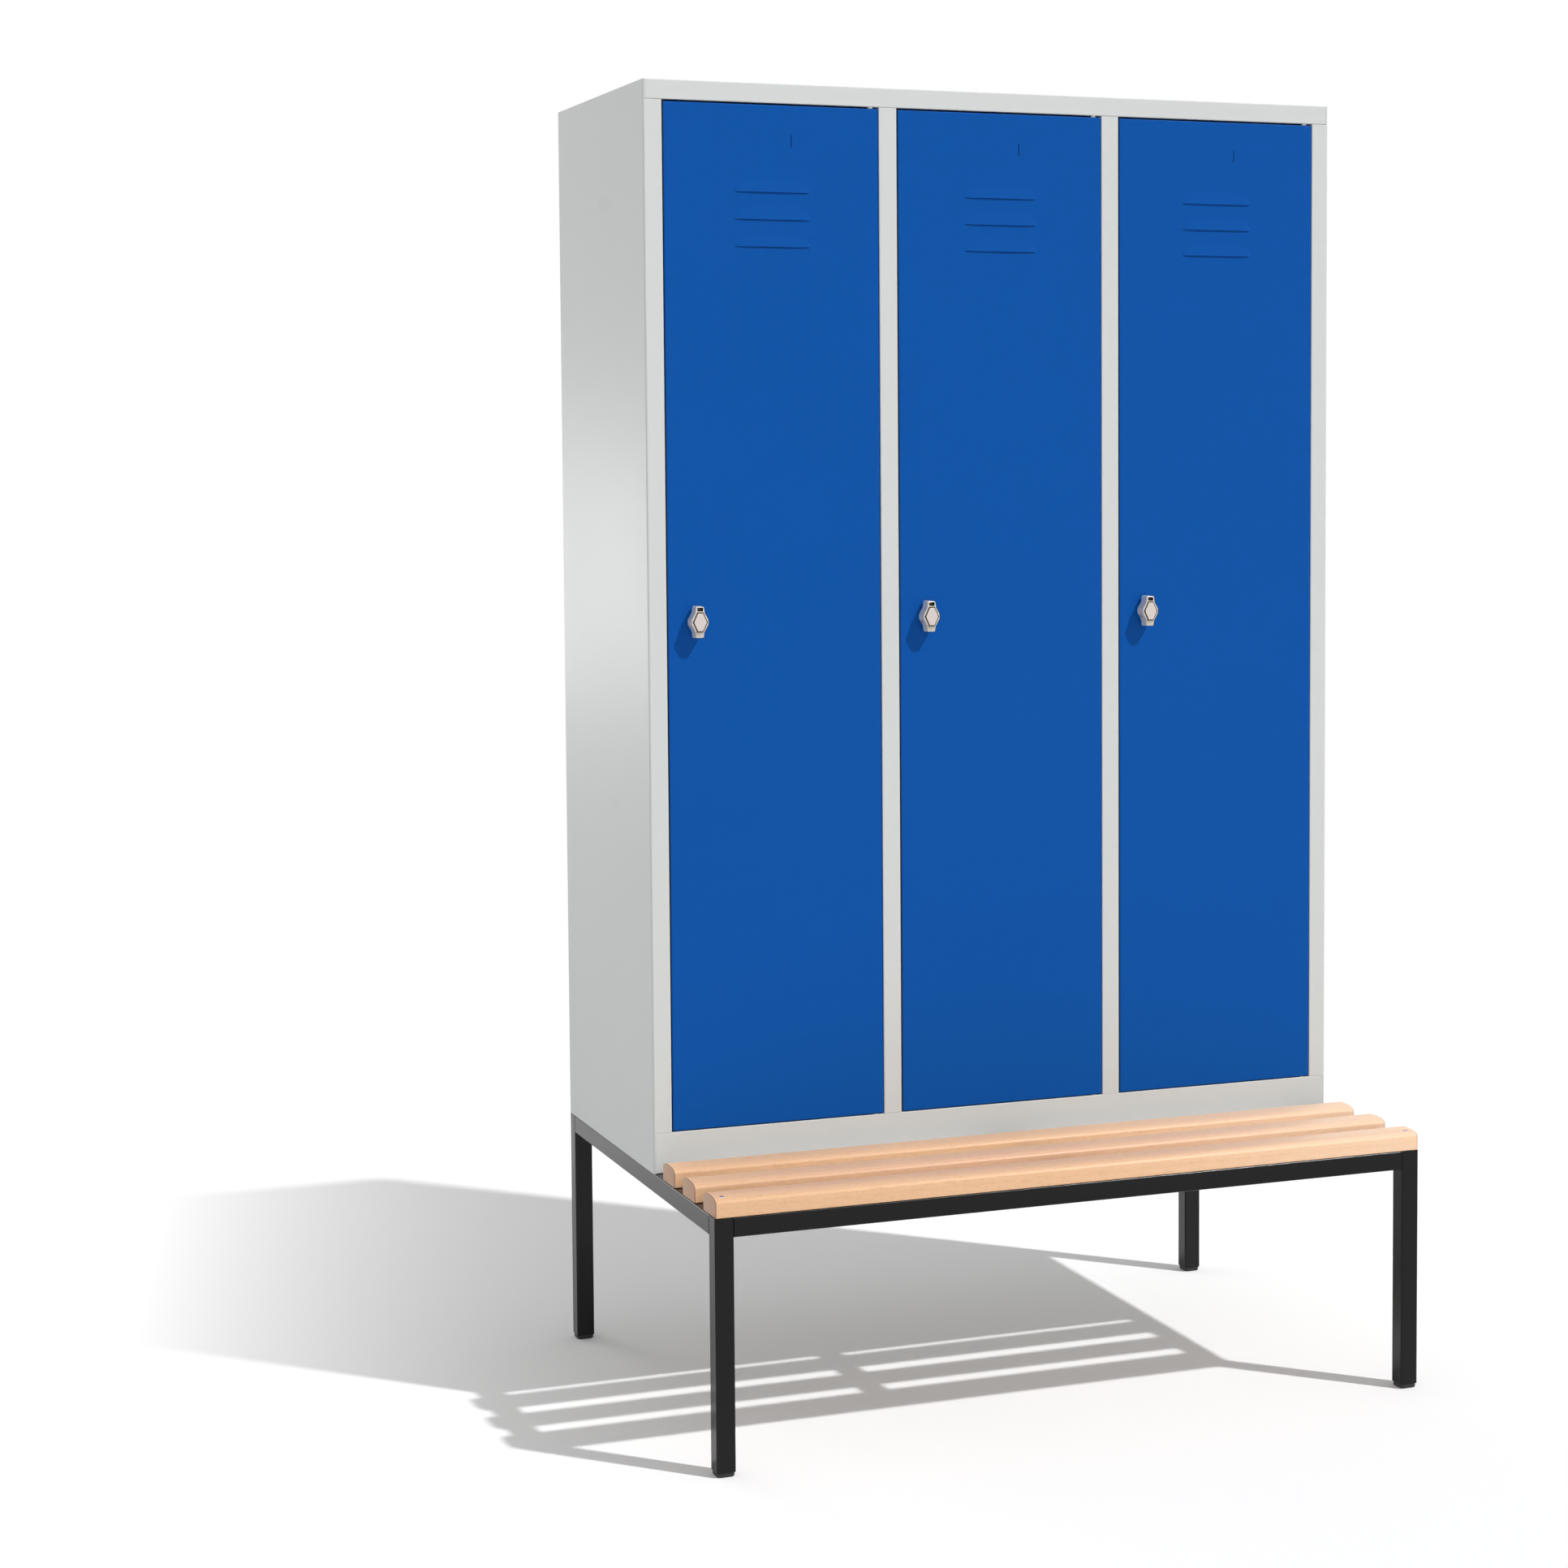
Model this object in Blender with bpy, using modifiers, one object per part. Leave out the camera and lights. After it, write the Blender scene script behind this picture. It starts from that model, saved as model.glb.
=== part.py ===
"""Steel locker with three compartments, standing on a tube frame that carries a slatted bench.

Metres, +Z up. The doors face -Y and the bench stands in front of them. The origin lies on
the floor under the middle of the whole object.
"""
from math import cos, pi, radians, sin, sqrt, tan

import bmesh
import bpy
from mathutils import Matrix, Vector

# Overall sizes
CABINET_WIDTH = 1.190
CABINET_DEPTH = 0.500
CABINET_HEIGHT = 1.700
SEAT_REACH = 0.310
UNDERFRAME_HEIGHT = 0.390
COMPARTMENTS = ("left", "middle", "right")

# Gap left between pieces that touch
FIT = 0.0003

# Cabinet sheets
BODY_SHEET = 0.0008
BODY_BEND = 0.0010
CORNER_BEND = 0.0030
BACK_FLANGE = 0.015
PANEL_FLANGE = 0.018
POST_WIDTH = 0.030
TOP_RAIL_HEIGHT = 0.030
BOTTOM_RAIL_HEIGHT = 0.064
RAIL_FLANGE = 0.018
STOP_LIP = 0.012
FLOOR_OVERLAP = 0.005
PARTITION_FLANGE = 0.012
SHELF_DROP = 0.300
SHELF_SETBACK = 0.035
ROD_DROP = 0.055
ROD_RADIUS = 0.008
ROD_WALL = 0.0015
ROD_FLANGE_RADIUS = 0.015
ROD_FLANGE_THICKNESS = 0.002
BUFFER_RADIUS = 0.0045
BUFFER_THICKNESS = 0.0030
BUFFER_ABOVE_LOCK = 0.120

# Doors
DOOR_SHEET = 0.0010
DOOR_BEND = 0.0010
DOOR_DEPTH = 0.018
DOOR_LIP = 0.012
DOOR_SIDE_GAP = 0.0020
DOOR_TOP_GAP = 0.0030
DOOR_BOTTOM_GAP = 0.0015
PIVOT_FROM_EDGE = 0.011
PIVOT_SETBACK = 0.006
PIN_RADIUS = 0.0030
PIN_HEAD_RADIUS = 0.0042
PIN_HEAD_HEIGHT = 0.006
PIN_ENGAGEMENT = 0.005
PIN_COLLAR_RADIUS = 0.0052
STIFFENER_WIDTH = 0.036
STIFFENER_DEPTH = 0.010
STIFFENER_FLANGE = 0.012
STIFFENER_MARGIN = 0.060
LOUVRE_COUNT = 3
LOUVRE_LENGTH = 0.125
LOUVRE_HEIGHT = 0.021
LOUVRE_REACH = 0.0018
LOUVRE_END = 0.009
LOUVRE_PITCH = 0.0423
LOUVRE_FROM_TOP = 0.135
LOUVRE_CURVE_STEPS = 6
LOUVRE_END_SCALE = (1, 0.12, 0.45)
LABEL_SLIT_LENGTH = 0.020
LABEL_SLIT_WIDTH = 0.0012
LABEL_SLIT_DROP = 0.046
LABEL_SLIT_OFFSET = 0.032

# Turn bolts for a padlock
LOCK_FROM_EDGE = 0.045
LOCK_HEIGHT = 0.865
ROSETTE_RADIUS = 0.0132
ROSETTE_THICKNESS = 0.0030
NECK_RADIUS = 0.0070
COLLAR_RADIUS = 0.0086
COLLAR_THICKNESS = 0.0012
SPINDLE_RADIUS = 0.0040
SPINDLE_TIP_RADIUS = 0.0032
SPINDLE_HEAD_RADIUS = 0.0050
SPINDLE_HEAD_THICKNESS = 0.0015
KNOB_HALF_HEIGHT = 0.0250
KNOB_HALF_WIDTH = 0.0145
KNOB_FLANK = 0.0035
KNOB_FLANK_ROUND = 0.0050
KNOB_ARM_START = 0.0150
KNOB_ARM_ROOT = 0.0080
KNOB_ARM_TIP = 0.0068
KNOB_ROOT_ROUND = 0.0060
KNOB_TIP_ROUND = 0.0020
KNOB_DEPTH = 0.0200
KNOB_DRAFT = 0.92
KNOB_EDGE = 0.0010
KNOB_CAVITY_RADIUS = 0.0127
KNOB_CAVITY_DEPTH = 0.0120
FACE_HALF_WIDTH = 0.0104
FACE_HALF_HEIGHT = 0.0138
FACE_HALF_TOP = 0.0040
FACE_TOP_ROUND = 0.0010
FACE_SIDE_ROUND = 0.0050
FACE_RAISE = 0.0016
FACE_GROOVE = 0.0011
FACE_GROOVE_DEPTH = 0.0016
POCKET_WIDTH = 0.0095
POCKET_HEIGHT = 0.0062
POCKET_DEPTH = 0.0070
POCKET_FROM_TIP = 0.0018
ARM_STEP = 0.0030
SHACKLE_OFFSET = 0.00805
SHACKLE_WIDTH = 0.0056
SHACKLE_DEPTH = 0.0070
LUG_WALL = 0.0008
LUG_WIDTH = 0.0080
CAM_WIDTH = 0.016
CAM_THICKNESS = 0.0025
CAM_TOP_ROUND = 0.0072
CAM_TIP_ROUND = 0.0032
CAM_HOOK = 0.010
CAM_CLEARANCE = 0.0012

# Bench and underframe
TUBE = 0.030
TUBE_WALL = 0.0020
TUBE_CORNER = 0.0025
FOOT_HEIGHT = 0.007
FOOT_SIZE = 0.0285
FOOT_EDGE = 0.0025
FOOT_PLUG = 0.015
SLAT_COUNT = 3
SLAT_WIDTH = 0.060
SLAT_HEIGHT = 0.030
SLAT_SIDE = 0.021
SLAT_EASE = 0.0015
SLAT_END_INSET = 0.0015
CROWN_POWER = 2.4
CROWN_STEPS = 18
SCREW_RADIUS = 0.0020
SCREW_LENGTH = 0.040
SCREW_HEAD_RADIUS = 0.0040
SCREW_HEAD_HEIGHT = 0.0026
SCREW_HEAD_TOP = 0.0022
SCREW_HEAD_EDGE = 0.0006
SCREW_RECESS = 0.0030

# Roundness
FILLET_STEPS = 3
SMALL_ROUND = 12
LARGE_ROUND = 20
WELD = 0.000001

# Places worked out from the sizes
BENCH_FRONT = -(CABINET_DEPTH + SEAT_REACH) / 2
FRONT = BENCH_FRONT + SEAT_REACH
BACK = FRONT + CABINET_DEPTH
SIDE = CABINET_WIDTH / 2
BASE = UNDERFRAME_HEIGHT + FIT
TOP = BASE + CABINET_HEIGHT
OPENING_BOTTOM = BASE + BOTTOM_RAIL_HEIGHT
OPENING_TOP = TOP - TOP_RAIL_HEIGHT
OPENING_WIDTH = (CABINET_WIDTH - (len(COMPARTMENTS) + 1) * POST_WIDTH) / len(COMPARTMENTS)
DOOR_WIDTH = OPENING_WIDTH - 2 * DOOR_SIDE_GAP
DOOR_BOTTOM = OPENING_BOTTOM + DOOR_BOTTOM_GAP
DOOR_HEIGHT = OPENING_TOP - DOOR_TOP_GAP - DOOR_BOTTOM
DOOR_FREE_EDGE = PIVOT_FROM_EDGE - DOOR_WIDTH
DOOR_MIDDLE = PIVOT_FROM_EDGE - DOOR_WIDTH / 2
PIN_HOLE = PIN_RADIUS + FIT
STOP_DEPTH = DOOR_DEPTH + BUFFER_THICKNESS + 2 * FIT
BACK_PANEL_FRONT = BACK - 2 * BODY_SHEET - FIT
SHEETS_BACK = BACK_PANEL_FRONT - FIT
WALL_INSIDE = SIDE - BODY_SHEET
NOTCH_INSET = CORNER_BEND + BODY_SHEET
FLOOR_TOP = OPENING_BOTTOM - BODY_SHEET - FIT
CEILING = TOP - BODY_SHEET
SHELF_TOP = TOP - SHELF_DROP
PARTITION_FRONT = FRONT + RAIL_FLANGE + 2 * FIT
PARTITION_BACK = SHEETS_BACK - BODY_SHEET
TUBE_MIDDLE = UNDERFRAME_HEIGHT - TUBE / 2
LEG_X = SIDE - TUBE / 2
LEG_FRONT_Y = BENCH_FRONT + TUBE / 2
LEG_BACK_Y = BACK - TUBE / 2
CROSS_TUBE_Y = FRONT + TUBE / 2
SLAT_BASE = UNDERFRAME_HEIGHT + FIT
SLAT_PITCH = SEAT_REACH / SLAT_COUNT
SCREW_HOLE = SCREW_RADIUS + FIT

# Turns of a piece that is drawn flat: its own x, y and z axes lie along the named ones
UPRIGHT = (0, 0, 0)
FACING_FRONT = (pi / 2, 0, 0)
ACROSS = (pi / 2, 0, pi / 2)
UPSIDE_DOWN = (pi, 0, 0)


def clear_scene():
    """Start from an empty file."""
    for item in list(bpy.data.objects):
        bpy.data.objects.remove(item)


def new_collection(name):
    """A collection under the scene's own."""
    collection = bpy.data.collections.new(name)
    bpy.context.scene.collection.children.link(collection)
    return collection


clear_scene()
PARTS = new_collection("locker_with_bench")
CUTTERS = new_collection("cutters")


def new_material(name, colour, roughness, metallic):
    """A plain material with the piece's own colour and gloss."""
    material = bpy.data.materials.new(name)
    material.use_nodes = True
    shader = material.node_tree.nodes["Principled BSDF"]
    shader.inputs["Base Color"].default_value = (*colour, 1.0)
    shader.inputs["Roughness"].default_value = roughness
    shader.inputs["Metallic"].default_value = metallic
    return material


BODY_PAINT = new_material("light_grey_paint", (0.66, 0.68, 0.67), 0.45, 0.0)
DOOR_PAINT = new_material("gentian_blue_paint", (0.006, 0.089, 0.376), 0.40, 0.0)
FRAME_PAINT = new_material("black_paint", (0.012, 0.012, 0.013), 0.38, 0.0)
BEECH = new_material("lacquered_beech", (0.80, 0.50, 0.28), 0.42, 0.0)
NICKEL = new_material("nickel_plate", (0.78, 0.74, 0.68), 0.22, 1.0)
ZINC = new_material("zinc_plated_steel", (0.60, 0.61, 0.62), 0.35, 1.0)
RUBBER = new_material("grey_rubber", (0.10, 0.10, 0.10), 0.80, 0.0)
BLACK_PLASTIC = new_material("black_plastic", (0.015, 0.015, 0.015), 0.55, 0.0)


def filleted(corners, closed=True):
    """Points of a path whose (x, y, radius) corners are rounded by arcs tangent to both sides."""
    points = []
    count = len(corners)
    for index, (x, y, radius) in enumerate(corners):
        corner = Vector((x, y))
        at_end = not closed and index in (0, count - 1)
        if at_end or radius == 0:
            points.append((x, y))
            continue
        before = (Vector(corners[index - 1][:2]) - corner).normalized()
        after = (Vector(corners[(index + 1) % count][:2]) - corner).normalized()
        half_angle = before.angle(after) / 2
        centre = corner + (before + after).normalized() * radius / sin(half_angle)
        first = (corner + before * radius / tan(half_angle) - centre).normalized()
        last = (corner + after * radius / tan(half_angle) - centre).normalized()
        for step in range(FILLET_STEPS + 1):
            arm = first.slerp(last, step / FILLET_STEPS)
            points.append(tuple(centre + arm * radius))
    return points


def circle(radius, sides=SMALL_ROUND):
    """Points of a round outline."""
    return [(radius * cos(2 * pi * k / sides), radius * sin(2 * pi * k / sides)) for k in range(sides)]


def rectangle(width, height, radius=0.0):
    """Points of an upright rectangle round the origin, with rounded corners."""
    x = width / 2
    y = height / 2
    return filleted([(-x, -y, radius), (x, -y, radius), (x, y, radius), (-x, y, radius)])


def bake(item):
    """Mesh that an object shows once its modifiers are worked out. The object is removed."""
    bpy.context.view_layer.update()
    depsgraph = bpy.context.evaluated_depsgraph_get()
    mesh = bpy.data.meshes.new_from_object(item.evaluated_get(depsgraph))
    bpy.data.objects.remove(item)
    return mesh


def loose_object(data, name="shape"):
    """An object at the origin that is only used while a shape is made."""
    item = bpy.data.objects.new(name, data)
    CUTTERS.objects.link(item)
    return item


def from_bmesh(bm):
    """Mesh from a finished bmesh."""
    mesh = bpy.data.meshes.new("shape")
    bm.to_mesh(mesh)
    bm.free()
    return mesh


def welded(mesh):
    """The mesh with its loose caps joined on and its faces pointing out."""
    bm = bmesh.new()
    bm.from_mesh(mesh)
    bmesh.ops.remove_doubles(bm, verts=bm.verts, dist=WELD)
    bmesh.ops.recalc_face_normals(bm, faces=bm.faces)
    return from_bmesh(bm)


def moved(mesh, x=0.0, y=0.0, z=0.0, turn=UPRIGHT):
    """A copy of the mesh, turned and then moved."""
    copy = mesh.copy()
    rotation = Matrix.Rotation(turn[2], 4, "Z") @ Matrix.Rotation(turn[0], 4, "X")
    copy.transform(Matrix.Translation((x, y, z)) @ rotation)
    return copy


def together(meshes):
    """One mesh that holds several separate solids."""
    bm = bmesh.new()
    for mesh in meshes:
        bm.from_mesh(mesh)
    return from_bmesh(bm)


def prism(outlines, depth):
    """Flat outlines, the first the outer one and the others holes, drawn up from z = 0."""
    curve = bpy.data.curves.new("outline", "CURVE")
    curve.dimensions = "2D"
    curve.fill_mode = "BOTH"
    curve.extrude = depth / 2
    for outline in outlines:
        spline = curve.splines.new("POLY")
        spline.points.add(len(outline) - 1)
        spline.points.foreach_set("co", [value for x, y in outline for value in (x, y, 0, 1)])
        spline.use_cyclic_u = True
    mesh = welded(bake(loose_object(curve)))
    mesh.transform(Matrix.Translation((0, 0, depth / 2)))
    return mesh


def block(width, depth, height):
    """A box that stands on z = 0 round the origin."""
    bm = bmesh.new()
    bmesh.ops.create_cube(bm, size=1)
    bmesh.ops.scale(bm, vec=(width, depth, height), verts=bm.verts)
    bmesh.ops.translate(bm, vec=(0, 0, height / 2), verts=bm.verts)
    return from_bmesh(bm)


def turned(profile, sides=SMALL_ROUND, ring=False):
    """A profile of (radius, height) points, run down its outer side, turned round the Z axis."""
    last = len(profile) - 1
    edges = [(k, k + 1) for k in range(last)]
    if ring:
        edges.append((last, 0))
    mesh = bpy.data.meshes.new("profile")
    mesh.from_pydata([(radius, 0, height) for radius, height in profile], edges, [])
    item = loose_object(mesh)
    screw = item.modifiers.new("turn", "SCREW")
    screw.steps = sides
    screw.render_steps = sides
    screw.use_merge_vertices = True
    screw.merge_threshold = WELD
    shape = welded(bake(item))
    shape.shade_smooth()
    shape.set_sharp_from_angle(angle=radians(35))
    return shape


def add_bevel(item, width, segments=2, limit=radians(40)):
    """Round the sharp edges of an object."""
    bevel = item.modifiers.new("rounded_edges", "BEVEL")
    bevel.width = width
    bevel.segments = segments
    bevel.limit_method = "ANGLE"
    bevel.angle_limit = limit


def add_thickness(item, thickness):
    """Give an open surface its wall, on the inner side."""
    wall = item.modifiers.new("wall", "SOLIDIFY")
    wall.thickness = thickness
    wall.offset = -1
    wall.use_even_offset = True


def add_boolean(item, other, operation="DIFFERENCE"):
    """Cut an object by another, or join them."""
    step = item.modifiers.new(other.name, "BOOLEAN")
    step.operation = operation
    step.object = other


def combined(mesh, *steps):
    """The mesh after (operation, mesh) steps, each of which cuts it or joins on to it."""
    item = loose_object(mesh)
    others = [loose_object(other) for operation, other in steps]
    for (operation, mesh_used), other in zip(steps, others):
        add_boolean(item, other, operation)
    result = bake(item)
    for other in others:
        bpy.data.objects.remove(other)
    return result


def bevelled(mesh, width, segments=2, limit=radians(40)):
    """The mesh with its sharp edges rounded."""
    item = loose_object(mesh)
    add_bevel(item, width, segments, limit)
    return bake(item)


def place(name, mesh, material, at=(0, 0, 0), turn=UPRIGHT, parent=None):
    """A named piece of the object."""
    item = bpy.data.objects.new(name, mesh)
    item.location = at
    item.rotation_euler = turn
    item.parent = parent
    if not mesh.materials:
        mesh.materials.append(material)
    PARTS.objects.link(item)
    return item


def cut(item, name, mesh, at=(0, 0, 0), turn=UPRIGHT):
    """Cut a placed piece with a shape that stays in the cutters' collection."""
    cutter = bpy.data.objects.new(name, mesh)
    cutter.location = at
    cutter.rotation_euler = turn
    cutter.hide_render = True
    cutter.display_type = "WIRE"
    CUTTERS.objects.link(cutter)
    add_boolean(item, cutter)


def axis_empty(name, at, parent=None):
    """An empty that stands on a joint's axis and carries the moving pieces."""
    empty = bpy.data.objects.new(name, None)
    empty.location = at
    empty.parent = parent
    empty.empty_display_size = 0.05
    PARTS.objects.link(empty)
    return empty


def folded_surface(path, length):
    """Open surface drawn up from a path, with its outside on the right of the way along it."""
    bm = bmesh.new()
    verts = [bm.verts.new((x, y, 0)) for x, y in path]
    edges = [bm.edges.new(pair) for pair in zip(verts, verts[1:])]
    grown = bmesh.ops.extrude_edge_only(bm, edges=edges)["geom"]
    raised = [part for part in grown if isinstance(part, bmesh.types.BMVert)]
    bmesh.ops.translate(bm, vec=(0, 0, length), verts=raised)
    bmesh.ops.recalc_face_normals(bm, faces=bm.faces)
    (x0, y0), (x1, y1) = path[:2]
    if edges[0].link_faces[0].normal.dot(Vector((y1 - y0, x0 - x1, 0))) < 0:
        bmesh.ops.reverse_faces(bm, faces=bm.faces)
    return from_bmesh(bm)


def place_sheet(name, path, length, at=(0, 0, 0), turn=UPRIGHT, parent=None, material=BODY_PAINT,
                thickness=BODY_SHEET, bend=BODY_BEND):
    """A piece folded from one sheet along a path."""
    item = place(name, folded_surface(path, length), material, at, turn, parent)
    add_bevel(item, bend)
    add_thickness(item, thickness)
    return item


def opening_left(index):
    """Left edge of one of the door openings."""
    return -SIDE + POST_WIDTH + index * (OPENING_WIDTH + POST_WIDTH)


def post_middle(index):
    """Middle of the post to the right of an opening."""
    return opening_left(index) + OPENING_WIDTH + POST_WIDTH / 2


def compartment_walls(index):
    """Inner faces of the walls on the left and right of a compartment."""
    left = -WALL_INSIDE
    right = WALL_INSIDE
    if index > 0:
        left = post_middle(index - 1) + BODY_SHEET / 2
    if index < len(COMPARTMENTS) - 1:
        right = post_middle(index) - BODY_SHEET / 2
    return left, right


def build_side_panels():
    """Two side walls, each folded round at the front into the post beside the doors."""
    stop = FRONT + STOP_DEPTH
    left_post = POST_WIDTH - SIDE
    left_path = filleted([
        (BACK_FLANGE - SIDE, BACK, 0),
        (-SIDE, BACK, 0),
        (-SIDE, FRONT, CORNER_BEND),
        (left_post, FRONT, 0),
        (left_post, stop, 0),
        (left_post + STOP_LIP, stop, 0),
    ], closed=False)
    right_post = SIDE - POST_WIDTH
    right_path = filleted([
        (right_post, stop, 0),
        (right_post, FRONT, 0),
        (SIDE, FRONT, CORNER_BEND),
        (SIDE, BACK, 0),
        (SIDE - BACK_FLANGE, BACK, 0),
    ], closed=False)
    reach = POST_WIDTH + STOP_LIP
    notch_middle = SIDE - NOTCH_INSET - reach / 2
    lower_notch = block(reach, 2 * STOP_DEPTH + 2 * POST_WIDTH, 2 * (BOTTOM_RAIL_HEIGHT + FIT))
    upper_notch = block(reach, 2 * STOP_DEPTH + 2 * POST_WIDTH, 2 * (TOP_RAIL_HEIGHT + FIT))
    for name, path, way in (("left", left_path, -1), ("right", right_path, 1)):
        panel = place_sheet("side_panel_" + name, path, CABINET_HEIGHT, at=(0, 0, BASE))
        x = way * notch_middle
        cut(panel, "lower_notch_" + name, lower_notch, (x, FRONT, BASE - BOTTOM_RAIL_HEIGHT - FIT))
        cut(panel, "upper_notch_" + name, upper_notch, (x, FRONT, TOP - TOP_RAIL_HEIGHT - FIT))


def build_rails():
    """The rails above and below the doors, with a hole for each door's pivot pin."""
    end = SIDE - NOTCH_INSET - FIT
    lower = [
        (FRONT + RAIL_FLANGE, OPENING_BOTTOM),
        (FRONT, OPENING_BOTTOM),
        (FRONT, BASE),
        (FRONT + RAIL_FLANGE, BASE),
    ]
    upper = [
        (FRONT + RAIL_FLANGE, TOP),
        (FRONT, TOP),
        (FRONT, OPENING_TOP),
        (FRONT + RAIL_FLANGE, OPENING_TOP),
    ]
    hole = prism([circle(PIN_HOLE)], 4 * BODY_SHEET)
    for name, path, level in (("bottom_rail", lower, OPENING_BOTTOM), ("top_rail", upper, OPENING_TOP)):
        rail = place_sheet(name, path, 2 * end, at=(-end, 0, 0), turn=ACROSS)
        for index, side in enumerate(COMPARTMENTS):
            cut(rail, name + "_pin_hole_" + side, hole,
                (pivot_x(index), FRONT + PIVOT_SETBACK, level - 2 * BODY_SHEET))


def build_posts_and_partitions():
    """Channel posts between the doors, each with the wall behind it that parts two compartments."""
    length = OPENING_TOP - OPENING_BOTTOM - 2 * FIT
    for index, side in enumerate(("left", "right")):
        middle = post_middle(index)
        left = middle - POST_WIDTH / 2
        right = middle + POST_WIDTH / 2
        stop = FRONT + STOP_DEPTH
        post_path = [(left, stop), (left, FRONT), (right, FRONT), (right, stop), (right + STOP_LIP, stop)]
        place_sheet("post_" + side, post_path, length, at=(0, 0, OPENING_BOTTOM + FIT))
        face = middle + BODY_SHEET / 2
        wall_path = [
            (left + BODY_SHEET + FIT, PARTITION_FRONT),
            (face, PARTITION_FRONT),
            (face, PARTITION_BACK),
            (face + PARTITION_FLANGE, PARTITION_BACK),
        ]
        place_sheet("partition_" + side, wall_path, CEILING - FLOOR_TOP - 2 * FIT,
                    at=(0, 0, FLOOR_TOP + FIT))


def build_back_top_and_floor():
    """The flat back sheet, the flat roof sheet, and the floor sheet with its sides turned down."""
    width = 2 * (WALL_INSIDE - FIT)
    back = block(width, BODY_SHEET, CABINET_HEIGHT)
    place("back_panel", back, BODY_PAINT, (0, BACK_PANEL_FRONT + BODY_SHEET / 2, BASE))
    roof_front = FRONT + RAIL_FLANGE + FIT
    roof = block(width, SHEETS_BACK - roof_front, BODY_SHEET)
    place("top_panel", roof, BODY_PAINT, (0, (roof_front + SHEETS_BACK) / 2, CEILING))
    half = width / 2
    floor_front = FRONT + RAIL_FLANGE - FLOOR_OVERLAP
    floor_path = [
        (half, FLOOR_TOP - PANEL_FLANGE),
        (half, FLOOR_TOP),
        (-half, FLOOR_TOP),
        (-half, FLOOR_TOP - PANEL_FLANGE),
    ]
    place_sheet("floor_panel", floor_path, SHEETS_BACK - floor_front, at=(0, SHEETS_BACK, 0),
                turn=FACING_FRONT)


def tray(width, depth, height):
    """Open box with its mouth down, standing on z = 0 round the origin."""
    bm = bmesh.new()
    bmesh.ops.create_cube(bm, size=1)
    bmesh.ops.scale(bm, vec=(width, depth, height), verts=bm.verts)
    bmesh.ops.translate(bm, vec=(0, 0, height / 2), verts=bm.verts)
    mouth = [face for face in bm.faces if face.normal.z < -0.5]
    bmesh.ops.delete(bm, geom=mouth, context="FACES_ONLY")
    return from_bmesh(bm)


def build_shelves_and_rods():
    """In each compartment a hat shelf, and below it a coat rod with a flange at each end."""
    shelf_front = FRONT + SHELF_SETBACK
    shelf_back = PARTITION_BACK - FIT
    rod_y = (shelf_front + shelf_back) / 2
    rod_z = SHELF_TOP - PANEL_FLANGE - ROD_DROP
    for index, side in enumerate(COMPARTMENTS):
        left, right = compartment_walls(index)
        width = right - left - 2 * FIT
        shelf = place("hat_shelf_" + side, tray(width, shelf_back - shelf_front, PANEL_FLANGE), BODY_PAINT,
                      ((left + right) / 2, rod_y, SHELF_TOP - PANEL_FLANGE))
        add_bevel(shelf, BODY_BEND)
        add_thickness(shelf, BODY_SHEET)
        rod = turned([
            (ROD_FLANGE_RADIUS, width),
            (ROD_FLANGE_RADIUS, width - ROD_FLANGE_THICKNESS),
            (ROD_RADIUS, width - ROD_FLANGE_THICKNESS),
            (ROD_RADIUS, ROD_FLANGE_THICKNESS),
            (ROD_FLANGE_RADIUS, ROD_FLANGE_THICKNESS),
            (ROD_FLANGE_RADIUS, 0),
            (ROD_RADIUS - ROD_WALL, 0),
            (ROD_RADIUS - ROD_WALL, width),
        ], ring=True)
        place("coat_rod_" + side, rod, ZINC, (left + FIT, rod_y, rod_z), ACROSS)


def build_door_buffers():
    """A rubber buffer on each stop lip, just above the turn bolt."""
    buffer = turned([
        (0, BUFFER_THICKNESS),
        (BUFFER_RADIUS, BUFFER_THICKNESS),
        (BUFFER_RADIUS, 0),
        (0, 0),
    ])
    level = BASE + LOCK_HEIGHT + BUFFER_ABOVE_LOCK
    for index, side in enumerate(COMPARTMENTS):
        x = opening_left(index) + STOP_LIP - BUFFER_RADIUS
        place("door_buffer_" + side, buffer, RUBBER, (x, FRONT + STOP_DEPTH - FIT, level), FACING_FRONT)


def pivot_x(index):
    """Place of a door's pivot across the cabinet."""
    return opening_left(index) + OPENING_WIDTH - DOOR_SIDE_GAP - PIVOT_FROM_EDGE


def hood_form(length, reach, height, below, behind):
    """Bar along X: a parabola rises from (-reach, 0), where it is upright, to (0, height) in (y, z)."""
    shares = [k / LOUVRE_CURVE_STEPS for k in range(LOUVRE_CURVE_STEPS + 1)]
    outline = [(reach * (share ** 2 - 1), height * share) for share in shares]
    outline += [(behind, height), (behind, -below), (-reach, -below)]
    if below == 0:
        outline.pop()
    return moved(prism([outline], length), -length / 2, 0, 0, ACROSS)


def hood_with_ends(length, reach, height, behind):
    """The bar of a hood, with its ends drawn out and down on to the sheet."""
    bm = bmesh.new()
    bm.from_mesh(hood_form(length - 2 * LOUVRE_END, reach, height, 0, behind))
    for way in (-1, 1):
        end = [face for face in bm.faces if face.normal.x * way > 0.9]
        grown = bmesh.ops.extrude_face_region(bm, geom=end)["geom"]
        verts = [part for part in grown if isinstance(part, bmesh.types.BMVert)]
        bmesh.ops.delete(bm, geom=end, context="FACES_ONLY")
        bmesh.ops.scale(bm, vec=LOUVRE_END_SCALE, verts=verts)
        bmesh.ops.translate(bm, vec=(way * LOUVRE_END, 0, 0), verts=verts)
    return from_bmesh(bm)


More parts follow.
